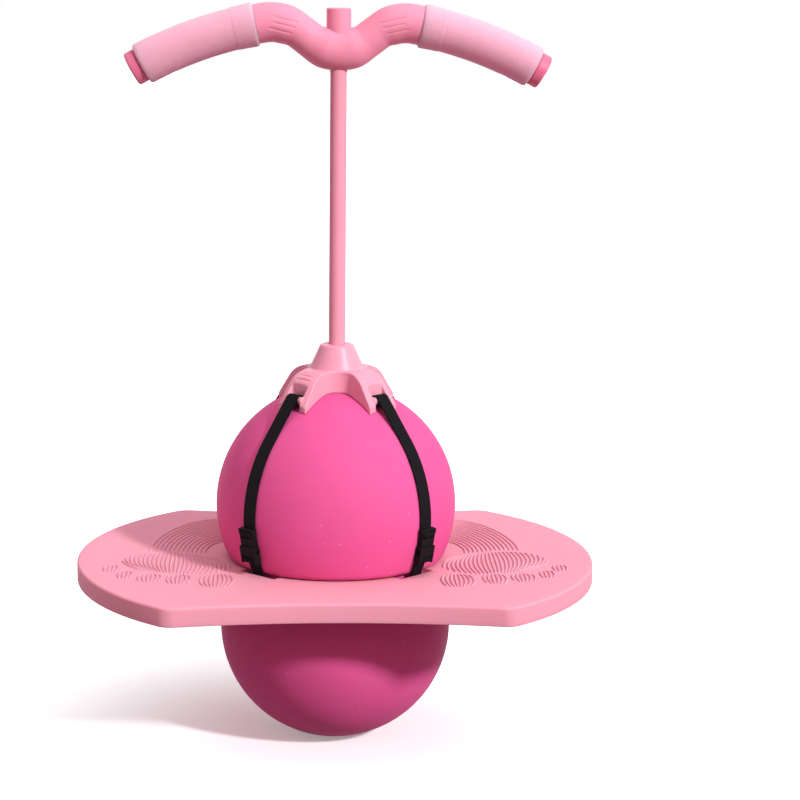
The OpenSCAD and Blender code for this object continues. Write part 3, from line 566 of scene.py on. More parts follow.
def moulded_pp(name, colour, rough, pit):
    """Moulded plastic: satin or dull, with a fine spark-eroded grain that breaks up its shine."""
    material, tree, bsdf = shader(name)
    less, more = 0.05, 0.06
    # the milky plastic glows a little red where light passes into it
    wired(tree, bsdf, Base_Color=cloudy(tree, colour, size=0.02, low=0.97, high=1.03),
          Roughness=uneven(tree, size=0.003, low=rough - less, high=rough + more),
          Normal=pitted(tree, size=pit, depth=0.00003), Specular_IOR_Level=0.26,
          Subsurface_Weight=0.2, Subsurface_Scale=1.0, Subsurface_Radius=(0.010, 0.002, 0.0025))
    return material


def powder_coat(colour):
    """Powder-coated steel tube: an even, dull colour with a slight orange peel that ripples its shine."""
    material, tree, bsdf = shader("powder_coated_steel")
    wired(tree, bsdf, Base_Color=cloudy(tree, colour, size=0.03, low=0.97, high=1.03),
          Roughness=uneven(tree, size=0.004, low=0.50, high=0.60),
          Normal=pitted(tree, size=0.0016, depth=0.00003), Specular_IOR_Level=0.12)
    return material


def grip_foam(colour):
    """Extruded NBR foam: dull, with fine closed pores and a soft edge glow like suede."""
    material, tree, bsdf = shader("extruded_nbr_foam")
    pore, pore_depth = 0.0009, 0.00012
    place = wired(tree, "ShaderNodeTexCoord").outputs["Object"]
    pores = wired(tree, "ShaderNodeTexVoronoi", Vector=place, Scale=1 / pore).outputs["Distance"]
    coarse = pitted(tree, size=0.004, depth=0.0002, detail=3.0)
    porous = wired(tree, "ShaderNodeBump", Height=pores, Distance=pore_depth, Normal=coarse)
    # pale foam lets light through, so its undersides stay soft
    wired(tree, bsdf, Base_Color=cloudy(tree, colour, size=0.008, low=0.94, high=1.05, detail=4.0),
          Roughness=0.88, Normal=porous.outputs["Normal"], Specular_IOR_Level=0.25,
          Subsurface_Weight=0.9, Subsurface_Scale=1.0, Subsurface_Radius=(0.034, 0.028, 0.030),
          Sheen_Weight=0.1, Sheen_Roughness=0.5)
    return material


def webbing(colour):
    """Woven polypropylene webbing: ribs a millimetre apart across the run, crossed by wider threads."""
    material, tree, bsdf = shader("woven_pp_webbing")
    thread, rib, weave_depth = 0.0016, 0.0011, 0.0003
    pit_shade_share, thread_highlight_share = 0.6, 1.9
    place = wired(tree, "ShaderNodeTexCoord").outputs["UV"]
    split = wired(tree, "ShaderNodeSeparateXYZ", Vector=place).outputs
    waves = []
    # half a sine and a half more run from 0 to 1
    for run, pitch in ((split["X"], thread), (split["Y"], rib)):
        turn = wired(tree, "ShaderNodeMath", run, 2 * math.pi / pitch, operation="MULTIPLY").outputs[0]
        sine = wired(tree, "ShaderNodeMath", turn, operation="SINE").outputs[0]
        waves.append(wired(tree, "ShaderNodeMath", sine, 0.5, 0.5, operation="MULTIPLY_ADD").outputs[0])
    weave = wired(tree, "ShaderNodeMath", *waves, operation="MULTIPLY").outputs[0]
    # painted light and shade: the raised threads are painted lighter as if lit, and the pits between them
    # painted darker as shade
    threads = wired(tree, "ShaderNodeMix", data_type="RGBA", Factor=weave,
                    A=rgba(colour, pit_shade_share), B=rgba(colour, thread_highlight_share))
    raised = wired(tree, "ShaderNodeBump", Height=weave, Distance=weave_depth)
    wired(tree, bsdf, Base_Color=threads.outputs["Result"], Normal=raised.outputs["Normal"],
          Roughness=0.75, Specular_IOR_Level=0.1)
    return material


def acetal(colour):
    """Moulded black acetal: a low, even shine with a fine texture."""
    material, tree, bsdf = shader("moulded_acetal")
    wired(tree, bsdf, Base_Color=cloudy(tree, colour, size=0.002, low=0.9, high=1.3),
          Roughness=uneven(tree, size=0.001, low=0.58, high=0.70),
          Normal=pitted(tree, size=0.0004, depth=0.00003), Specular_IOR_Level=0.12)
    return material


def zinc_steel(colour):
    """Zinc-plated steel: bright metal with a slightly cloudy shine."""
    material, tree, bsdf = shader("zinc_plated_steel")
    wired(tree, bsdf, Base_Color=cloudy(tree, colour, size=0.003, low=0.85, high=1.05, detail=3.0),
          Roughness=uneven(tree, size=0.001, low=0.25, high=0.42), Metallic=1.0)
    return material


# Shapes


def fold(s, lobe_r, rise):
    """Radius of the fold that runs tangent from a lobe to the deck, for a lobe this far from the deck."""
    return (lobe_r**2 - s.hole_r**2 - rise**2) / (2 * (lobe_r - rise))


def ball_profile(s):
    """Radii and heights of the ball from its flat foot to its crown.

    Each lobe is an arc of the lobe's radius; a fold tangent to it turns in to the neck in the deck's hole."""
    low = s.deck_bottom - s.gap - s.lower_z
    high = s.upper_z - s.deck_top - s.gap
    radii = [np.zeros(1), np.linspace(FOOT_RING_SHARE, 1, FOOT_STEPS) * s.contact_r]
    heights = [np.zeros(1), np.zeros(FOOT_STEPS)]
    for centre, lobe_r, rise, sign in ((s.lower_z, s.lower_r, low, 1), (s.upper_z, s.ball_r, high, -1)):
        f = fold(s, lobe_r, rise)
        turn = math.atan2(s.hole_r, rise - f)
        start = math.pi - math.asin(s.contact_r / lobe_r) if sign > 0 else math.pi
        lobe = np.linspace(start, turn, LOBE_STEPS)
        roll = np.linspace(turn, 0.0, FOLD_STEPS)[1:]
        r = np.concatenate([lobe_r * np.sin(lobe), s.hole_r + f * np.sin(roll), [s.hole_r - s.gap]])
        z = np.concatenate([lobe_r * np.cos(lobe), rise - f + f * np.cos(roll), [rise + s.gap]])
        if sign > 0:
            r, z = r[1:], z[1:]
        radii.append(r[::sign])
        heights.append(centre + sign * z[::sign])
    r, z = np.concatenate(radii), np.concatenate(heights)
    r[-1] = 0.0
    return r, z


def deck_corner(s):
    """Middle of the deck's corner fillet, and its directions at the round end and at the hollow edge."""
    centre = s.deck_half_depth + s.deck_edge_r
    reach = s.deck_r - s.deck_corner_r
    y = (reach**2 - (s.deck_edge_r + s.deck_corner_r) ** 2 + centre**2) / (2 * centre)
    x = math.sqrt(reach**2 - y**2)
    return np.array([x, y]), math.atan2(y, x), math.atan2(centre - y, -x)


def deck_edge(s, theta):
    """Radius of the deck's outline at polar angles, and the outline's outward normal there.

    The outline is an arc of the deck's radius, a corner fillet and a hollow arc, mirrored four ways."""
    centre = s.deck_half_depth + s.deck_edge_r
    middle, first, second = deck_corner(s)
    a = np.linspace(0, first, OUTLINE_STEPS)
    end = np.stack([np.cos(a), np.sin(a)], 1)
    b = np.linspace(first, second, FILLET_STEPS)[1:]
    corner = np.stack([np.cos(b), np.sin(b)], 1)
    x = np.linspace(middle[0] + s.deck_corner_r * math.cos(second), 0, OUTLINE_STEPS)[1:]
    hollow = np.stack([x, centre - np.sqrt(s.deck_edge_r**2 - x**2)], 1)
    inward = np.array([0.0, centre]) - hollow
    places = np.concatenate([end * s.deck_r, middle + corner * s.deck_corner_r, hollow])
    normals = np.concatenate([end, corner, inward / s.deck_edge_r])
    polar = np.arctan2(places[:, 1], places[:, 0])
    folded = np.arctan2(np.abs(np.sin(theta)), np.abs(np.cos(theta)))
    radius = np.interp(folded, polar, np.hypot(*places.T))
    lean = np.interp(folded, polar, np.unwrap(np.arctan2(normals[:, 1], normals[:, 0])))
    normal = np.stack([np.cos(lean) * np.sign(np.cos(theta)), np.sin(lean) * np.sign(np.sin(theta))], 1)
    return radius, normal


def deck_angles(s):
    """Polar angles of the deck's lines: even steps, closer at the corners, with the notches' corners met."""
    half = s.notch_w / 2
    deep = math.atan2(half, s.hole_r + s.notch_d)
    wide = math.asin(half / s.hole_r)
    beside = np.array([deep, wide, deep - NOTCH_INSIDE, wide + NOTCH_OUTSIDE])
    marks = np.radians(list(CORNERS.values()))[:, None] + np.concatenate([-beside, beside])
    even = np.linspace(0, 2 * np.pi, DECK_SPOKES, endpoint=False)
    middle, first, second = deck_corner(s)
    turns = np.linspace(first, second, CORNER_STEPS)
    fillet = middle + s.deck_corner_r * np.stack([np.cos(turns), np.sin(turns)], 1)
    span = np.arctan2(fillet[:, 1], fillet[:, 0])
    corner = np.concatenate([span, np.pi - span, np.pi + span, 2 * np.pi - span])
    every = np.sort(np.concatenate([even, marks.ravel(), corner]) % (2 * np.pi))
    return every[np.concatenate([[True], np.diff(every) > LEAST_TURN])]


def hole_edge(s, theta):
    """Radius of the deck's hole at polar angles, with its four notches."""
    half, deep = s.notch_w / 2, s.hole_r + s.notch_d
    off = np.abs(theta % (np.pi / 2) - np.pi / 4)
    side = half / np.maximum(np.sin(off), LEAST_TURN)
    notch = np.where(off <= math.atan2(half, deep), deep / np.cos(off), side)
    return np.where(off < math.asin(half / s.hole_r), np.maximum(notch, s.hole_r), s.hole_r)


def deck_part(s):
    """The deck as one closed loop of a profile carried round the polar angle.

    The profile goes up the hole's wall, out over the top, round the edge, down the outer wall and back
    underneath along the plate to the wall round the hole."""
    theta = deck_angles(s)
    edge, normal = deck_edge(s, theta)
    inner = hole_edge(s, theta)
    spoke = np.stack([np.cos(theta), np.sin(theta)], 1)
    top, bottom = s.deck_top, s.deck_bottom
    lip, round_ = s.deck_lip, s.deck_round
    rows = []

    def level(flat, z):
        rows.append(np.concatenate([flat, np.full((len(flat), 1), z)], axis=1))

    def out(inset):
        return spoke * edge[:, None] - normal * inset

    def hole(outset):
        return spoke * (inner + outset)[:, None]

    level(hole(0), bottom)
    level(hole(0), top - lip)
    level(hole(lip * LIP_SHARE), top - lip * LIP_SHARE)
    level(hole(lip), top)
    for share in np.linspace(0, 1, TOP_STEPS)[1:-1]:
        level(hole(lip) * (1 - share) + out(round_) * share, top)
    for a in np.linspace(0, math.pi / 2, EDGE_STEPS):
        level(out(round_ * (1 - math.sin(a))), top - round_ * (1 - math.cos(a)))
    for share in WALL_SHARES:
        level(out(0), top - round_ + (bottom + lip - top + round_) * share)
    for a in np.linspace(0, math.pi / 2, LIP_STEPS):
        level(out(lip * (1 - math.cos(a))), bottom + lip * (1 - math.sin(a)))
    level(out(s.deck_wall_t), bottom)
    level(out(s.deck_wall_t), top - s.deck_plate_t)
    collar = np.maximum(s.hole_r + s.deck_plate_t, inner + s.notch_wall)
    level(spoke * collar[:, None], top - s.deck_plate_t)
    level(spoke * collar[:, None], bottom)
    flat = np.concatenate(rows)
    return flat, grid_faces(len(rows), len(theta), True, True), flat[:, :2].copy()


def rib_parts(s):
    """Radial ribs and the round rib under the deck, each a closed strip of a square profile."""
    parts = []
    low, high = s.deck_bottom + s.deck_sink, s.deck_top - s.deck_plate_t + s.deck_sink
    half = s.deck_rib_t / 2
    square = np.array([[-half, low], [half, low], [half, high], [-half, high]])
    turns = np.arange(s.ribs) * 2 * np.pi / s.ribs
    ends = deck_edge(s, turns)[0] - s.deck_wall_t / 2
    for turn, end in zip(turns, ends):
        ahead = np.array([math.cos(turn), math.sin(turn)])
        across = np.array([-ahead[1], ahead[0]])
        reach = np.array([s.hole_r + s.deck_plate_t / 2, end])
        rings = np.empty((len(reach), len(square), 3))
        rings[..., :2] = ahead * reach[:, None, None] + across * square[:, :1]
        rings[..., 2] = square[:, 1]
        parts.append(tube(rings))
    t = np.linspace(0, 2 * np.pi, RING_SPOKES, endpoint=False)
    r, z = s.deck_ring_r + square[:, :1], np.repeat(square[:, 1:], len(t), 1)
    ring = np.stack([r * np.cos(t), r * np.sin(t), z], 2).reshape(-1, 3)
    parts.append((ring, grid_faces(len(square), len(t), True, True), ring[:, :2].copy()))
    return parts


def bowed(centre, tilt, half_w, half_d, bow, s):
    """Lines that run front to back across a patch, a pitch apart, bowed out more towards its sides.

    The line at u is x = u sqrt(1 - bow (v / half_d)^2), y = v + tilt u, so outer ones follow the outline."""
    v = np.arange(-LINE_REACH_SHARE * half_d, LINE_REACH_SHARE * half_d, s.tread_step)
    narrow = np.sqrt(np.maximum(1 - bow * (v / half_d) ** 2, 0))
    places = np.arange(s.ridge_pitch / 2, half_w, s.ridge_pitch)
    return [centre + np.stack([u * narrow, v + tilt * u], 1) for u in np.concatenate([-places, places])]


def oval(centre, half, step):
    """A closed squarish oval: |x / a|^n + |y / b|^n = 1 about a centre."""
    t = np.linspace(0, 2 * np.pi, int(2 * np.pi * max(half) / step), endpoint=False)
    c, d = np.cos(t), np.sin(t)
    reach = (np.abs(c) ** HEEL_POWER + np.abs(d) ** HEEL_POWER) ** (-1 / HEEL_POWER)
    return centre + np.stack([half[0] * reach * c, half[1] * reach * d], 1)


def beyond(line, first, last, radius):
    """Whether each point of a line lies farther than a radius from the segment between two points."""
    run = last - first
    share = np.clip(((line - first) @ run) / (run @ run), 0, 1)
    return np.linalg.norm(line - first - share[:, None] * run, axis=1) > radius


def runs(keep):
    """Index runs of a closed line's kept points, without the shortest; one whole run if all are kept."""
    if keep.all():
        return [(np.arange(len(keep)), True)]
    order = np.roll(np.arange(len(keep)), -int(np.argmin(keep)))
    kept = np.flatnonzero(keep[order])
    pieces = np.split(order[kept], np.flatnonzero(np.diff(kept) > 1) + 1)
    return [(index, False) for index in pieces if len(index) >= LEAST_RUN]


def ridge(line, closed, s, sign):
    """One tread ridge: a low round back carried along a line on the deck's top.

    The back is w / 2 cos a across and h sin a high; at an open line's ends its height tapers off."""
    ahead = (np.roll(line, -1, 0) - np.roll(line, 1, 0)) if closed else np.gradient(line, axis=0)
    ahead /= np.linalg.norm(ahead, axis=1)[:, None]
    across = np.stack([-ahead[:, 1], ahead[:, 0]], 1)
    a = np.linspace(0, math.pi, RIDGE_STEPS)
    width = np.concatenate([[1.0], np.cos(a), [-1.0]]) * s.ridge_w / 2
    height = np.concatenate([[-s.deck_sink], np.sin(a) * s.ridge_h, [-s.deck_sink]])
    taper = np.ones(len(line))
    if not closed:
        k = np.arange(len(line))
        taper = smoothstep((np.minimum(k, k[::-1]) + 0.5) / TAPER_STEPS)
    grid = np.empty((len(line), len(width), 3))
    grid[..., :2] = line[:, None] + across[:, None] * width[:, None]
    grid[..., 2] = s.deck_top + np.where(height > 0, height * taper[:, None], height)
    grid[..., 0] *= sign
    if not closed:
        return tube(grid)
    flat = grid.reshape(-1, 3)
    return flat, grid_faces(len(line), len(width), True, True), flat[:, :2].copy()


def tread_part(s, sign):
    """One foot tread: bowed lines on the toes and the ball of the foot, rings on the heel round the arch."""
    size = s.foot_l
    shift = np.array([-s.foot_x, 0.0])
    sole = np.array(SOLE_SHARES) * size + shift
    sole_r = SOLE_R_SHARE * size
    lines = []
    for x, y, r in np.array(TOE_SHARES) * size:
        front = np.array([x, y]) + shift
        back = front + np.array([0.0, TOE_STRETCH_SHARE * r])
        for line in bowed((front + back) / 2, 0.0, r, (1 + TOE_STRETCH_SHARE / 2) * r, TOE_BOW, s):
            lines.append((line, ~beyond(line, front, back, r)))
    run = sole[1] - sole[0]
    half_w = np.linalg.norm(run) / 2 + sole_r
    for line in bowed((sole[0] + sole[1]) / 2, run[1] / run[0], half_w, sole_r, SOLE_BOW, s):
        lines.append((line, ~beyond(line, *sole, sole_r)))
    heel, bare = np.array(HEEL_SHARES) * size, np.array(BARE_ARCH_SHARES) * size
    for share in np.linspace(0, 1, HEEL_RINGS):
        centre, half = heel * (1 - share) + bare * share
        line = oval(centre + shift, half, s.tread_step)
        behind = (line - sole[0]) @ np.array([-run[1], run[0]]) > 0
        lines.append((line, behind & beyond(line, *sole, sole_r + 2 * s.ridge_w)))
    parts = []
    for line, keep in lines:
        keep = keep & (np.linalg.norm(line, axis=1) > s.hole_r + s.tread_margin)
        for index, closed in runs(keep):
            parts.append(ridge(line[index], closed, s, -sign))
    return joined(parts)


def web(flat, azimuth, s):
    """A run of webbing: a flat profile with round edges carried along a path in a vertical plane.

    The path gives places outwards and above the upper lobe's centre. The thickness lies at right angles to
    the path in its plane, the width across the plane."""
    half, thick = s.web_w / 2, s.web_t / 2
    soft = thick * WEB_SOFT_SHARE
    turn = np.arange(4)[:, None] * np.pi / 2 + np.linspace(0, np.pi / 2, WEB_CORNER_STEPS)
    centres = np.array([[1, 1], [-1, 1], [-1, -1], [1, -1]]) * [half - soft, thick - soft]
    corners = centres[:, None] + soft * np.stack([np.cos(turn), np.sin(turn)], 2)
    share = np.arange(1, WEB_STEPS)[:, None] / WEB_STEPS
    upper = corners[0, -1] + (corners[1, 0] - corners[0, -1]) * share
    lower = corners[2, -1] + (corners[3, 0] - corners[2, -1]) * share
    outline = np.concatenate([corners[0], upper, corners[1], corners[2], lower, corners[3]])
    a = math.radians(azimuth)
    outward, upward = np.array([math.cos(a), math.sin(a), 0.0]), np.array([0.0, 0.0, 1.0])
    across = np.array([-math.sin(a), math.cos(a), 0.0])
    ahead = np.gradient(flat, axis=0)
    ahead /= np.linalg.norm(ahead, axis=1)[:, None]
    path = flat[:, :1] * outward + (s.upper_z + flat[:, 1:]) * upward
    lift = ahead[:, :1] * upward - ahead[:, 1:] * outward
    return tube(path[:, None] + across * outline[:, :1] + lift[:, None] * outline[:, 1:])


def arc(centre, radius, turn):
    """Points of an arc in a vertical plane, at turns from straight up towards the outside."""
    return centre + radius * np.stack([np.sin(turn), np.cos(turn)], 1)


def handlebar_axis(s):
    """Points of the handlebar's right half in the XZ plane from the dip to the grip's start, and slopes.

    A dip arc, a straight slope, a shoulder arc and the start of the arm's gentle arc run into each other.
    From a slope a, an arc of radius b goes by b (sin t - sin a) along X and b (cos a - cos t) along Z."""
    bends = (s.dip_bend_r + s.shoulder_bend_r) * (1 - math.cos(s.dip_angle))
    rise = bends + s.slope_l * math.sin(s.dip_angle)
    points, slopes = [np.array([[0.0, s.bar_top - s.bar_r - rise]])], [np.zeros(1)]
    arcs = ((s.dip_bend_r, 0.0, s.dip_angle), (0.0, s.dip_angle, s.dip_angle),
            (-s.shoulder_bend_r, s.dip_angle, -s.arm_start), (-s.arm_bend_r, -s.arm_start, -s.grip_start))
    for bend, start, end in arcs:
        run = abs(bend * (end - start)) if bend else s.slope_l
        share = np.linspace(0, 1, max(int(run / s.bar_step), 2) + 1)[1:]
        lean = start + (end - start) * share
        step = bend * np.stack([np.sin(lean) - math.sin(start), math.cos(start) - np.cos(lean)], 1)
        if not bend:
            step = run * share[:, None] * np.array([math.cos(start), math.sin(start)])
        points.append(points[-1][-1] + step)
        slopes.append(lean)
    return np.concatenate(points), np.concatenate(slopes)


def arm_axis(s, from_slope, to_slope, count):
    """Points and slopes along the right arm's gentle arc between two slopes."""
    end = handlebar_axis(s)[0][-1]
    centre = end - s.arm_bend_r * np.array([math.sin(s.grip_start), math.cos(s.grip_start)])
    slope = np.linspace(from_slope, to_slope, count)
    return arc(centre, s.arm_bend_r, slope), slope


def round_tube(points, slopes, radii, count, side=1.0):
    """Points of a round tube along a line in the XZ plane; slopes fall towards +X as they grow."""
    t = np.linspace(0, 2 * np.pi, count, endpoint=False)
    up = np.stack([np.sin(slopes), np.zeros_like(slopes), np.cos(slopes)], 1)
    centre = np.stack([points[:, 0], np.zeros(len(points)), points[:, 1]], 1)
    grid = centre[:, None, :] + radii[:, None, None] * (up[:, None, :] * np.sin(t)[None, :, None])
    grid[:, :, 1] += radii[:, None] * np.cos(t)[None, :]
    grid[:, :, 0] *= side
    return grid


def slit_depth(points, s):
    """Depth of the slits at points of the handlebar: three stadium-shaped grooves on each shoulder."""
    x, z = np.abs(points[..., 0]), points[..., 2] - s.bar_top
    depth = np.zeros(x.shape)
    cos, sin = math.cos(s.slit_tilt), math.sin(s.slit_tilt)
    for out, rise, half in (s.upper_slit, s.middle_slit, s.lower_slit):
        u = (x - out) * cos + (z - rise) * sin
        v = (z - rise) * cos - (x - out) * sin
        away = np.hypot(np.maximum(np.abs(u) - half, 0), v)
        depth = np.maximum(depth, smoothstep(SLIT_STEEPNESS * (1 - away / s.slit_w)))
    return depth * s.slit_d


# Operators


class HopperOperator:
    """What every operator of the add-on shares: the scene's sizes and colours, and one step to undo."""

    bl_options = {"REGISTER", "UNDO"}

    def settings(self, context):
        """The scene's sizes and colours."""
        return context.scene.hopper_sizes, context.scene.hopper_colours


class HOPPER_OT_ball(HopperOperator, bpy.types.Operator):
    """Build the ball's two lobes as one skin that squashes under the deck"""

    bl_idname = "hopper.ball"
    bl_label = "Ball"

    def execute(self, context):
        s, c = self.settings(context)
        skin = ball_pvc(c.ball)
        ball = piece("ball_skin", lathe(*ball_profile(s), BALL_SPOKES), skin, BALL_SMOOTH)
        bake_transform(ball)
        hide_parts("ball_shell")
        wrap_nodes(skin, "valve_seat", "valve_plug")
        return {"FINISHED"}


class HOPPER_OT_deck(HopperOperator, bpy.types.Operator):
    """Build the deck with its rounded edge and the ribs under it"""

    bl_idname = "hopper.deck"
    bl_label = "Deck"

    def execute(self, context):
        s, c = self.settings(context)
        material = moulded_pp("moulded_pp_deck", c.deck, rough=0.70, pit=0.0005)
        board = piece("deck_board_skin", joined([deck_part(s)] + rib_parts(s)), material, DECK_SMOOTH)
        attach(board, "deck")
        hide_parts("deck_board")
        return {"FINISHED"}


class HOPPER_OT_treads(HopperOperator, bpy.types.Operator):
    """Build the foot treads as lines of low ridges on the deck"""

    bl_idname = "hopper.treads"
    bl_label = "Foot treads"

    def execute(self, context):
        s, _ = self.settings(context)
        material = bpy.data.materials["moulded_pp_deck"]
        for side, sign in SIDES.items():
            tread = piece(side + "_tread_ridges", tread_part(s, -sign), material, SOFT_SMOOTH)
            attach(tread, "deck")
            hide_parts(side + "_foot_tread")
        return {"FINISHED"}


class HOPPER_OT_saddle(HopperOperator, bpy.types.Operator):
    """Build the crown saddle from the CAD part with softened edges"""

    bl_idname = "hopper.saddle"
    bl_label = "Crown saddle"

    def execute(self, context):
        s, c = self.settings(context)
        material = moulded_pp("moulded_pp_saddle", c.saddle, rough=0.36, pit=0.0005)
        saddle = cad_copy("crown_saddle_skin", "crown_saddle", material, ALL_SMOOTH)
        cells = saddle.modifiers.new("cells", "REMESH")
        cells.mode, cells.voxel_size, cells.use_smooth_shade = "VOXEL", s.voxel, True
        soften = saddle.modifiers.new("soften", "SMOOTH")
        soften.factor, soften.iterations = SOFTEN_SHARE, SOFTEN_ROUNDS
        applied(saddle)
        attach(saddle, "handle")
        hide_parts("crown_saddle")
        return {"FINISHED"}


class HOPPER_OT_straps(HopperOperator, bpy.types.Operator):
    """Build the webbing straps and the short deck loops"""

    bl_idname = "hopper.straps"
    bl_label = "Straps"

    def execute(self, context):
        s, c = self.settings(context)
        material = webbing(c.web)
        for corner, azimuth in CORNERS.items():
            self.strap(s, corner, azimuth, material)
            self.loop(s, corner, azimuth, material)
        return {"FINISHED"}

    def strap(self, s, corner, azimuth, material):
        """An eye round the saddle's bar, a straight run that touches the ball, and a curve to the latch."""
        middle = np.zeros(2)
        seat = s.ball_r + s.gap
        eye = s.strap_bar_r + s.gap + s.web_t / 2
        bar_d = seat + s.gap + eye + s.web_t / 2
        bar = bar_d * np.array([math.sin(s.strap_polar), math.cos(s.strap_polar)])
        ride = seat + s.web_t / 2 + s.strap_slack
        touch = s.strap_polar + math.acos((ride - eye) / bar_d)
        small = s.web_bar_r + s.gap + s.web_t / 2
        end_d = seat + small + s.web_t / 2
        end = s.buckle_polar - math.asin(s.latch_bar / end_d)
        latch = end_d * np.array([math.sin(end), math.cos(end)])
        round_bar = arc(bar, eye, np.linspace(touch - s.eye_turn, touch, EYE_STEPS))
        on_ball = arc(middle, ride, np.linspace(touch, end, BALL_RUN_STEPS))
        run = np.linspace(0, 1, RUN_STEPS)[1:, None]
        straight = round_bar[-1] + (on_ball[0] - round_bar[-1]) * run
        round_latch = arc(latch, small, np.linspace(end + math.pi, end - s.latch_turn, LATCH_STEPS)[1:])
        flat = np.concatenate([round_bar, straight, on_ball[1:], round_latch])
        strap = piece(corner + "_strap_web", web(flat, azimuth, s), material, SOFT_SMOOTH)
        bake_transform(strap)
        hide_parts(corner + "_strap")

    def loop(self, s, corner, azimuth, material):
        """An eye on the buckle's bar, a straight run through the notch, and an eye round the anchor pin."""
        out = s.ball_r + s.gap + s.buckle_t / 2
        small = s.web_bar_r + s.gap + s.web_t / 2
        big = s.pin_r + s.gap + s.web_t / 2
        cos, sin = math.cos(s.buckle_polar), math.sin(s.buckle_polar)
        top = np.array([out * sin + s.buckle_bar * cos, out * cos - s.buckle_bar * sin])
        pin = np.array([s.hole_r + s.pin_offset, s.deck_top - s.pin_depth - s.upper_z])
        run = pin - top
        lean = math.asin((big - small) / np.linalg.norm(run))
        heading = math.pi + lean - math.atan2(run[1], run[0])
        start = arc(top, small, np.linspace(heading + s.loop_turn, heading, LOOP_EYE_STEPS))
        end = arc(pin, big, np.linspace(heading, heading - s.loop_turn, LOOP_EYE_STEPS))
        straight = start[-1] + (end[0] - start[-1]) * np.linspace(0, 1, LOOP_RUN_STEPS)[1:-1, None]
        flat = np.concatenate([start, straight, end])
        made = piece(corner + "_loop_web", web(flat, azimuth, s), material, SOFT_SMOOTH)
        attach(made, "deck")
        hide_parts(corner + "_loop")


class HOPPER_OT_buckles(HopperOperator, bpy.types.Operator):
    """Build the two halves of the buckles with soft edges"""

    bl_idname = "hopper.buckles"
    bl_label = "Buckles"

    def execute(self, context):
        s, c = self.settings(context)
        material = acetal(c.buckle)
        for corner in CORNERS:
            for half in ("latch", "buckle"):
                node = corner + "_" + half
                made = cad_copy(node + "_half", node, material)
                bevel = made.modifiers.new("soft edges", "BEVEL")
                bevel.width, bevel.segments, bevel.limit_method = s.buckle_soft, BEVEL_STEPS, "ANGLE"
                bevel.angle_limit = math.radians(BEVEL_FROM)
                applied(made)
                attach(made, "deck")
                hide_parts(node)
        return {"FINISHED"}


class HOPPER_OT_handlebar(HopperOperator, bpy.types.Operator):
    """Build the handlebar with its dip, shoulders, slits and the sleeve over the pole"""

    bl_idname = "hopper.handlebar"
    bl_label = "Handlebar"

    def execute(self, context):
        s, c = self.settings(context)
        material = moulded_pp("moulded_pp_handlebar", c.bar, rough=0.60, pit=0.0006)
        parts = [tube(self.bends(s))]
        arm, lean = arm_axis(s, s.arm_start, s.arm_end, CORE_STEPS)
        for side in SIDES.values():
            parts.append(tube(round_tube(arm, lean, np.full(len(arm), s.core_r), CORE_SPOKES, side)))
        soft = s.sleeve_soft
        a = np.linspace(0, math.pi / 2, SLEEVE_STEPS)
        dip_z = handlebar_axis(s)[0][0, 1]
        radius = np.concatenate([[0, s.sleeve_r], s.sleeve_r - soft + soft * np.cos(a), [0]])
        height = np.concatenate([[dip_z, dip_z], s.sleeve_top - soft + soft * np.sin(a), [s.sleeve_top]])
        parts.append(lathe(radius, height, SLEEVE_SPOKES))
        made = piece("handlebar_skin", joined(parts), material)
        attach(made, "handle")
        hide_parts("handlebar")
        return {"FINISHED"}

    def bends(self, s):
        """A tube along the dip and both shoulders, thinner on the slopes, with slits in its two faces."""
        half, slope = handlebar_axis(s)
        points = np.concatenate([half[:0:-1] * [-1.0, 1.0], half])
        slopes = np.concatenate([slope[:0:-1], -slope])
        slope_x = s.dip_bend_r * math.sin(s.dip_angle) + s.slope_l / 2 * math.cos(s.dip_angle)
        thick = np.where(np.abs(points[:, 0]) < slope_x, s.dip_r, s.bar_r)
        steep = np.abs(slopes) / s.dip_angle
        radii = thick - (thick - s.bar_slope_r) * smoothstep((steep - THIN_SHARE) / (1 - THIN_SHARE))
        bar = round_tube(points, slopes, radii, BAR_SPOKES)
        centre = np.stack([points[:, 0], np.zeros(len(points)), points[:, 1]], 1)[:, None, :]
        outward = (bar - centre) / radii[:, None, None]
        face = smoothstep((np.abs(outward[..., 1]) - FACE_SHARE) / FACE_FADE_SHARE)
        return bar - outward * (slit_depth(bar, s) * face)[..., None]


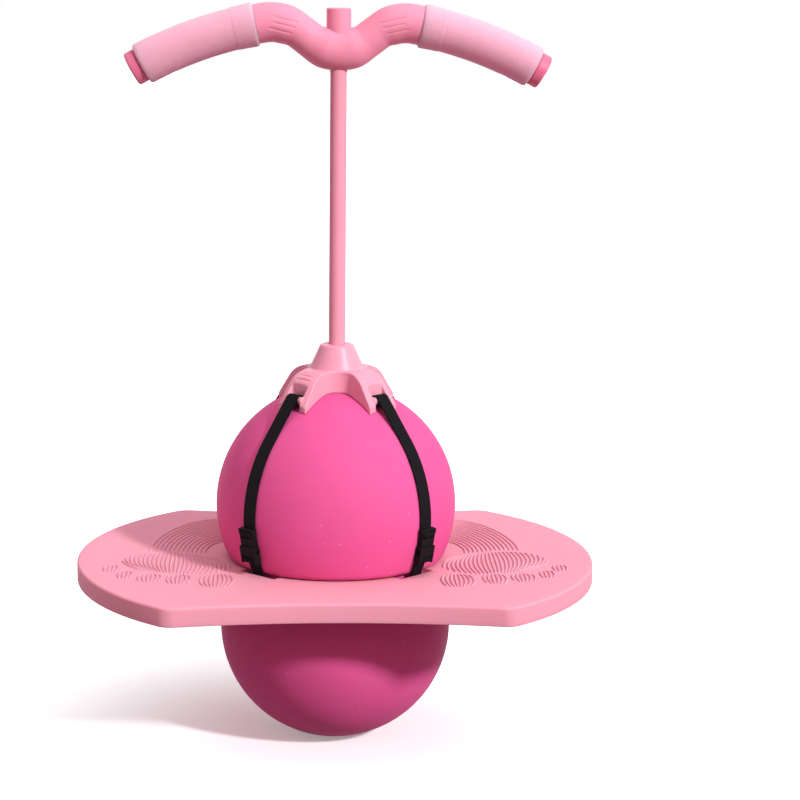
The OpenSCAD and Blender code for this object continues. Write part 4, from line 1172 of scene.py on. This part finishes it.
class HOPPER_OT_grips(HopperOperator, bpy.types.Operator):
    """Build the foam grips with their cuffs, and the end caps"""

    bl_idname = "hopper.grips"
    bl_label = "Grips"

    def execute(self, context):
        s, c = self.settings(context)
        foam = grip_foam(c.grip)
        vinyl = moulded_pp("dipped_pvc_cap", c.cap, rough=0.45, pit=0.0004)
        for side, sign in SIDES.items():
            self.grip(s, side, sign, foam)
            self.cap(s, side, sign, vinyl)
        return {"FINISHED"}

    def grip(self, s, side, sign, material):
        """A tube along the arm's arc; its radius rounds in at both ends and steps up at the cuffs."""
        points, slope = arm_axis(s, s.grip_start, s.arm_end, GRIP_STEPS)
        place = s.arm_bend_r * (slope - slope[0])
        whole = place[-1]
        near = np.minimum(place, whole - place)
        soft = s.grip_soft
        round_in = soft - np.sqrt(np.maximum(soft**2 - np.maximum(soft - near, 0) ** 2, 0))
        radii = s.grip_r - round_in
        into_inner, into_outer = s.inner_cuff - place, place - whole + s.outer_cuff
        radii = radii + s.inner_step * smoothstep(into_inner / s.cuff_seam)
        radii = radii + s.outer_step * smoothstep(into_outer / s.cuff_seam)
        radii = radii + s.cuff_flare * smoothstep(into_inner / s.inner_cuff)
        grid = round_tube(points, slope, radii, GRIP_SPOKES, sign)
        made = piece(side + "_grip_foam", tube(grid), material, SOFT_SMOOTH)
        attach(made, "handle")
        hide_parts(side + "_grip")

    def cap(self, s, side, sign, material):
        """A rounded disc on the arm's end, turned round the arm's axis, with a shallow dish in its face."""
        soft, rim = s.cap_soft, s.cap_r - s.cap_rim
        a = np.linspace(0, math.pi / 2, CAP_STEPS)
        radius = np.concatenate([[0, s.cap_r - s.cap_back, s.cap_r], s.cap_r - soft + soft * np.cos(a),
                                 [rim, rim - s.cap_dish, 0]])
        height = np.concatenate([[0, 0, s.cap_back], s.cap_l - soft + soft * np.sin(a),
                                 [s.cap_l, s.cap_l - s.cap_dish, s.cap_l - s.cap_dish]])
        points, faces, uvs = lathe(radius, height, CAP_SPOKES)
        end = arm_axis(s, s.arm_end, s.arm_end, 1)[0][0]
        cos, sin = math.cos(s.arm_end), math.sin(s.arm_end)
        axes = np.array([[sin, 0, cos], [0, 1, 0], [cos, 0, -sin]])
        turned = np.array([end[0], 0, end[1]]) + points @ axes
        turned[:, 0] *= sign
        made = piece(side + "_cap_disc", (turned, faces, uvs), material)
        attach(made, "handle")
        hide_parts(side + "_end_cap")


class HOPPER_OT_hardware(HopperOperator, bpy.types.Operator):
    """Give the pole, pins, screw and button their materials, and build the snap spring"""

    bl_idname = "hopper.hardware"
    bl_label = "Pole and hardware"

    def execute(self, context):
        s, c = self.settings(context)
        wrap_nodes(powder_coat(c.pole), "pole_tube")
        steel = zinc_steel(c.steel)
        wrap_nodes(steel, "socket_screw", "snap_button")
        wrap_nodes(steel, *[corner + "_pin" for corner in CORNERS])
        self.spring(s, steel)
        return {"FINISHED"}

    def spring(self, s, material):
        """A flat strip bent into a V: down from the far wall, round a fold and up behind the button."""
        low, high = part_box("snap_spring")
        bend, thin = s.spring_t, s.spring_t / 2
        turn = np.linspace(math.pi, 2 * math.pi, SPRING_FOLD_STEPS)
        middle = np.array([0.0, low.z + bend + thin])
        bottom = middle + bend * np.stack([np.cos(turn), np.sin(turn)], 1)
        rise = np.linspace(0, 1, SPRING_STEPS)[:-1, None]
        far = np.array([low.y + thin, high.z])
        near = np.array([high.y - thin, high.z])
        down, up = far + (bottom[0] - far) * rise, near + (bottom[-1] - near) * rise[::-1]
        flat = np.concatenate([down, bottom, up])
        ahead = np.gradient(flat, axis=0)
        ahead /= np.linalg.norm(ahead, axis=1)[:, None]
        inward = np.stack([-ahead[:, 1], ahead[:, 0]], 1) * thin
        rings = np.empty((len(flat), 4, 3))
        rings[..., 0] = low.x, high.x, high.x, low.x
        rings[..., 1:] = flat[:, None] + inward[:, None] * np.array([-1, -1, 1, 1])[:, None]
        made = piece("snap_spring_strip", tube(rings), material)
        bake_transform(made)
        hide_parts("snap_spring")


class HOPPER_OT_stage(HopperOperator, bpy.types.Operator):
    """Set up the pale floor, the soft studio light and the camera"""

    bl_idname = "hopper.stage"
    bl_label = "Studio"

    def execute(self, context):
        _, c = self.settings(context)
        stage = context.scene.hopper_stage
        self.floor(context, stage, c)
        self.key(context, stage)
        self.world(context, stage, c)
        self.camera(context, stage)
        context.scene.view_settings.view_transform = "Standard"
        return {"FINISHED"}

    def floor(self, context, stage, c):
        """A wide pale floor that shows as white where no shadow falls, with its shadows thinned by painted
        light.
        """
        mesh = bpy.data.meshes.new("studio_floor")
        reach = stage.floor_reach
        mesh.from_pydata([(-reach, -reach, 0), (reach, -reach, 0), (reach, reach, 0), (-reach, reach, 0)], [],
                         [(0, 1, 2, 3)])
        material, tree, bsdf = shader("matt_paper_floor")
        # it shows as pale paper; to the object's soft light it is a rosy floor that throws little back up
        seen = background_rays(tree)
        paper = wired(tree, "ShaderNodeMix", data_type="RGBA", Factor=seen, A=rgba(c.bounce), B=rgba(c.floor))
        # painted light: a glow where it shows thins and tints the shadows, more so away from the ball
        place = wired(tree, "ShaderNodeTexCoord").outputs["Object"]
        away = wired(tree, "ShaderNodeVectorMath", place, operation="LENGTH").outputs["Value"]
        far = wired(tree, "ShaderNodeMapRange", Value=away, From_Min=stage.shade_r, From_Max=stage.fade_r)
        glow = wired(tree, "ShaderNodeMix", data_type="RGBA", Factor=far.outputs["Result"],
                     A=rgba(c.painted_shadow_near), B=rgba(c.painted_shadow_far))
        wired(tree, bsdf, Base_Color=paper.outputs["Result"], Emission_Color=glow.outputs["Result"],
              Emission_Strength=seen, Roughness=0.95, Specular_IOR_Level=0.0)
        mesh.materials.append(material)
        made = bpy.data.objects.new("studio_floor", mesh)
        context.scene.collection.objects.link(made)

    def key(self, context, stage):
        """A key light from the upper right-front, even all over the floor, with soft-edged shadows."""
        lamp = bpy.data.lights.new("key", "SUN")
        lamp.energy = stage.key_light * math.pi
        lamp.angle = stage.key_angle
        made = bpy.data.objects.new("key", lamp)
        made.rotation_mode = "QUATERNION"
        made.rotation_quaternion = Vector(stage.key_from).to_track_quat("Z", "Y")
        context.scene.collection.objects.link(made)

    def world(self, context, stage, c):
        """A soft overhead light: a sky that fades from the zenith to the horizon, and shows as white."""
        world = bpy.data.worlds.new("studio_sky")
        context.scene.world = world
        world.use_nodes = True
        tree = world.node_tree
        place = wired(tree, "ShaderNodeTexCoord").outputs["Generated"]
        height = wired(tree, "ShaderNodeSeparateXYZ", Vector=place).outputs["Z"]
        light = wired(tree, "ShaderNodeMapRange", Value=height, To_Min=stage.sky_low, To_Max=stage.sky_high)
        # low light has passed by pink walls; light from overhead is whiter
        tint = wired(tree, "ShaderNodeMix", data_type="RGBA", Factor=height,
                     A=rgba(c.sky_low), B=rgba(c.sky_high))
        sky = wired(tree, tree.nodes["Background"], Color=tint.outputs["Result"],
                    Strength=light.outputs["Result"])
        shown = wired(tree, "ShaderNodeBackground", Color=rgba(WHITE), Strength=1.0)
        either = wired(tree, "ShaderNodeMixShader", background_rays(tree), sky.outputs[0], shown.outputs[0])
        wired(tree, tree.nodes["World Output"], Surface=either.outputs[0])

    def camera(self, context, stage):
        """The photograph's camera: a long lens a little above and left of the middle, slightly rolled."""
        lens = bpy.data.cameras.new("photo_camera")
        lens.sensor_width, lens.lens = stage.sensor, stage.lens
        made = bpy.data.objects.new("photo_camera", lens)
        place, aim = Vector(stage.camera_place), Vector(stage.camera_aim)
        cos, sin = math.cos(stage.camera_roll), math.sin(stage.camera_roll)
        ahead = (aim - place).normalized()
        right = ahead.cross(Vector((0, 0, 1))).normalized()
        up = right.cross(ahead)
        turn = Matrix((right * cos + up * sin, up * cos - right * sin, -ahead)).transposed()
        made.matrix_world = Matrix.Translation(place) @ turn.to_4x4()
        context.scene.collection.objects.link(made)
        context.scene.camera = made


class HOPPER_PT_panel(bpy.types.Panel):
    """Sizes, colours, studio and build steps of the hopper ball"""

    bl_idname = "HOPPER_PT_panel"
    bl_label = "Hopper Ball"
    bl_space_type = "VIEW_3D"
    bl_region_type = "UI"
    bl_category = "Hopper Ball"

    def draw(self, context):
        column = self.layout.column()
        for operator in STEPS:
            column.operator(operator.bl_idname)
        for name in GROUPS:
            group = getattr(context.scene, name)
            box = self.layout.box()
            for value in group.__annotations__:
                box.prop(group, value)


GROUPS = {"hopper_sizes": HopperSizes, "hopper_colours": HopperColours, "hopper_stage": HopperStage}
STEPS = (HOPPER_OT_ball, HOPPER_OT_deck, HOPPER_OT_treads, HOPPER_OT_saddle, HOPPER_OT_straps,
         HOPPER_OT_buckles, HOPPER_OT_handlebar, HOPPER_OT_grips, HOPPER_OT_hardware, HOPPER_OT_stage)
CLASSES = (*GROUPS.values(), *STEPS, HOPPER_PT_panel)


def register():
    for kind in CLASSES:
        bpy.utils.register_class(kind)
    for name, group in GROUPS.items():
        setattr(bpy.types.Scene, name, PointerProperty(type=group))


def unregister():
    for name in GROUPS:
        delattr(bpy.types.Scene, name)
    for kind in reversed(CLASSES):
        bpy.utils.unregister_class(kind)


def main():
    """Builds the pieces in order."""
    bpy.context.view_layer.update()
    register()
    for operator in STEPS:
        group, name = operator.bl_idname.split(".")
        getattr(getattr(bpy.ops, group), name)()
    bpy.context.view_layer.update()


if __name__ == "__main__":
    main()
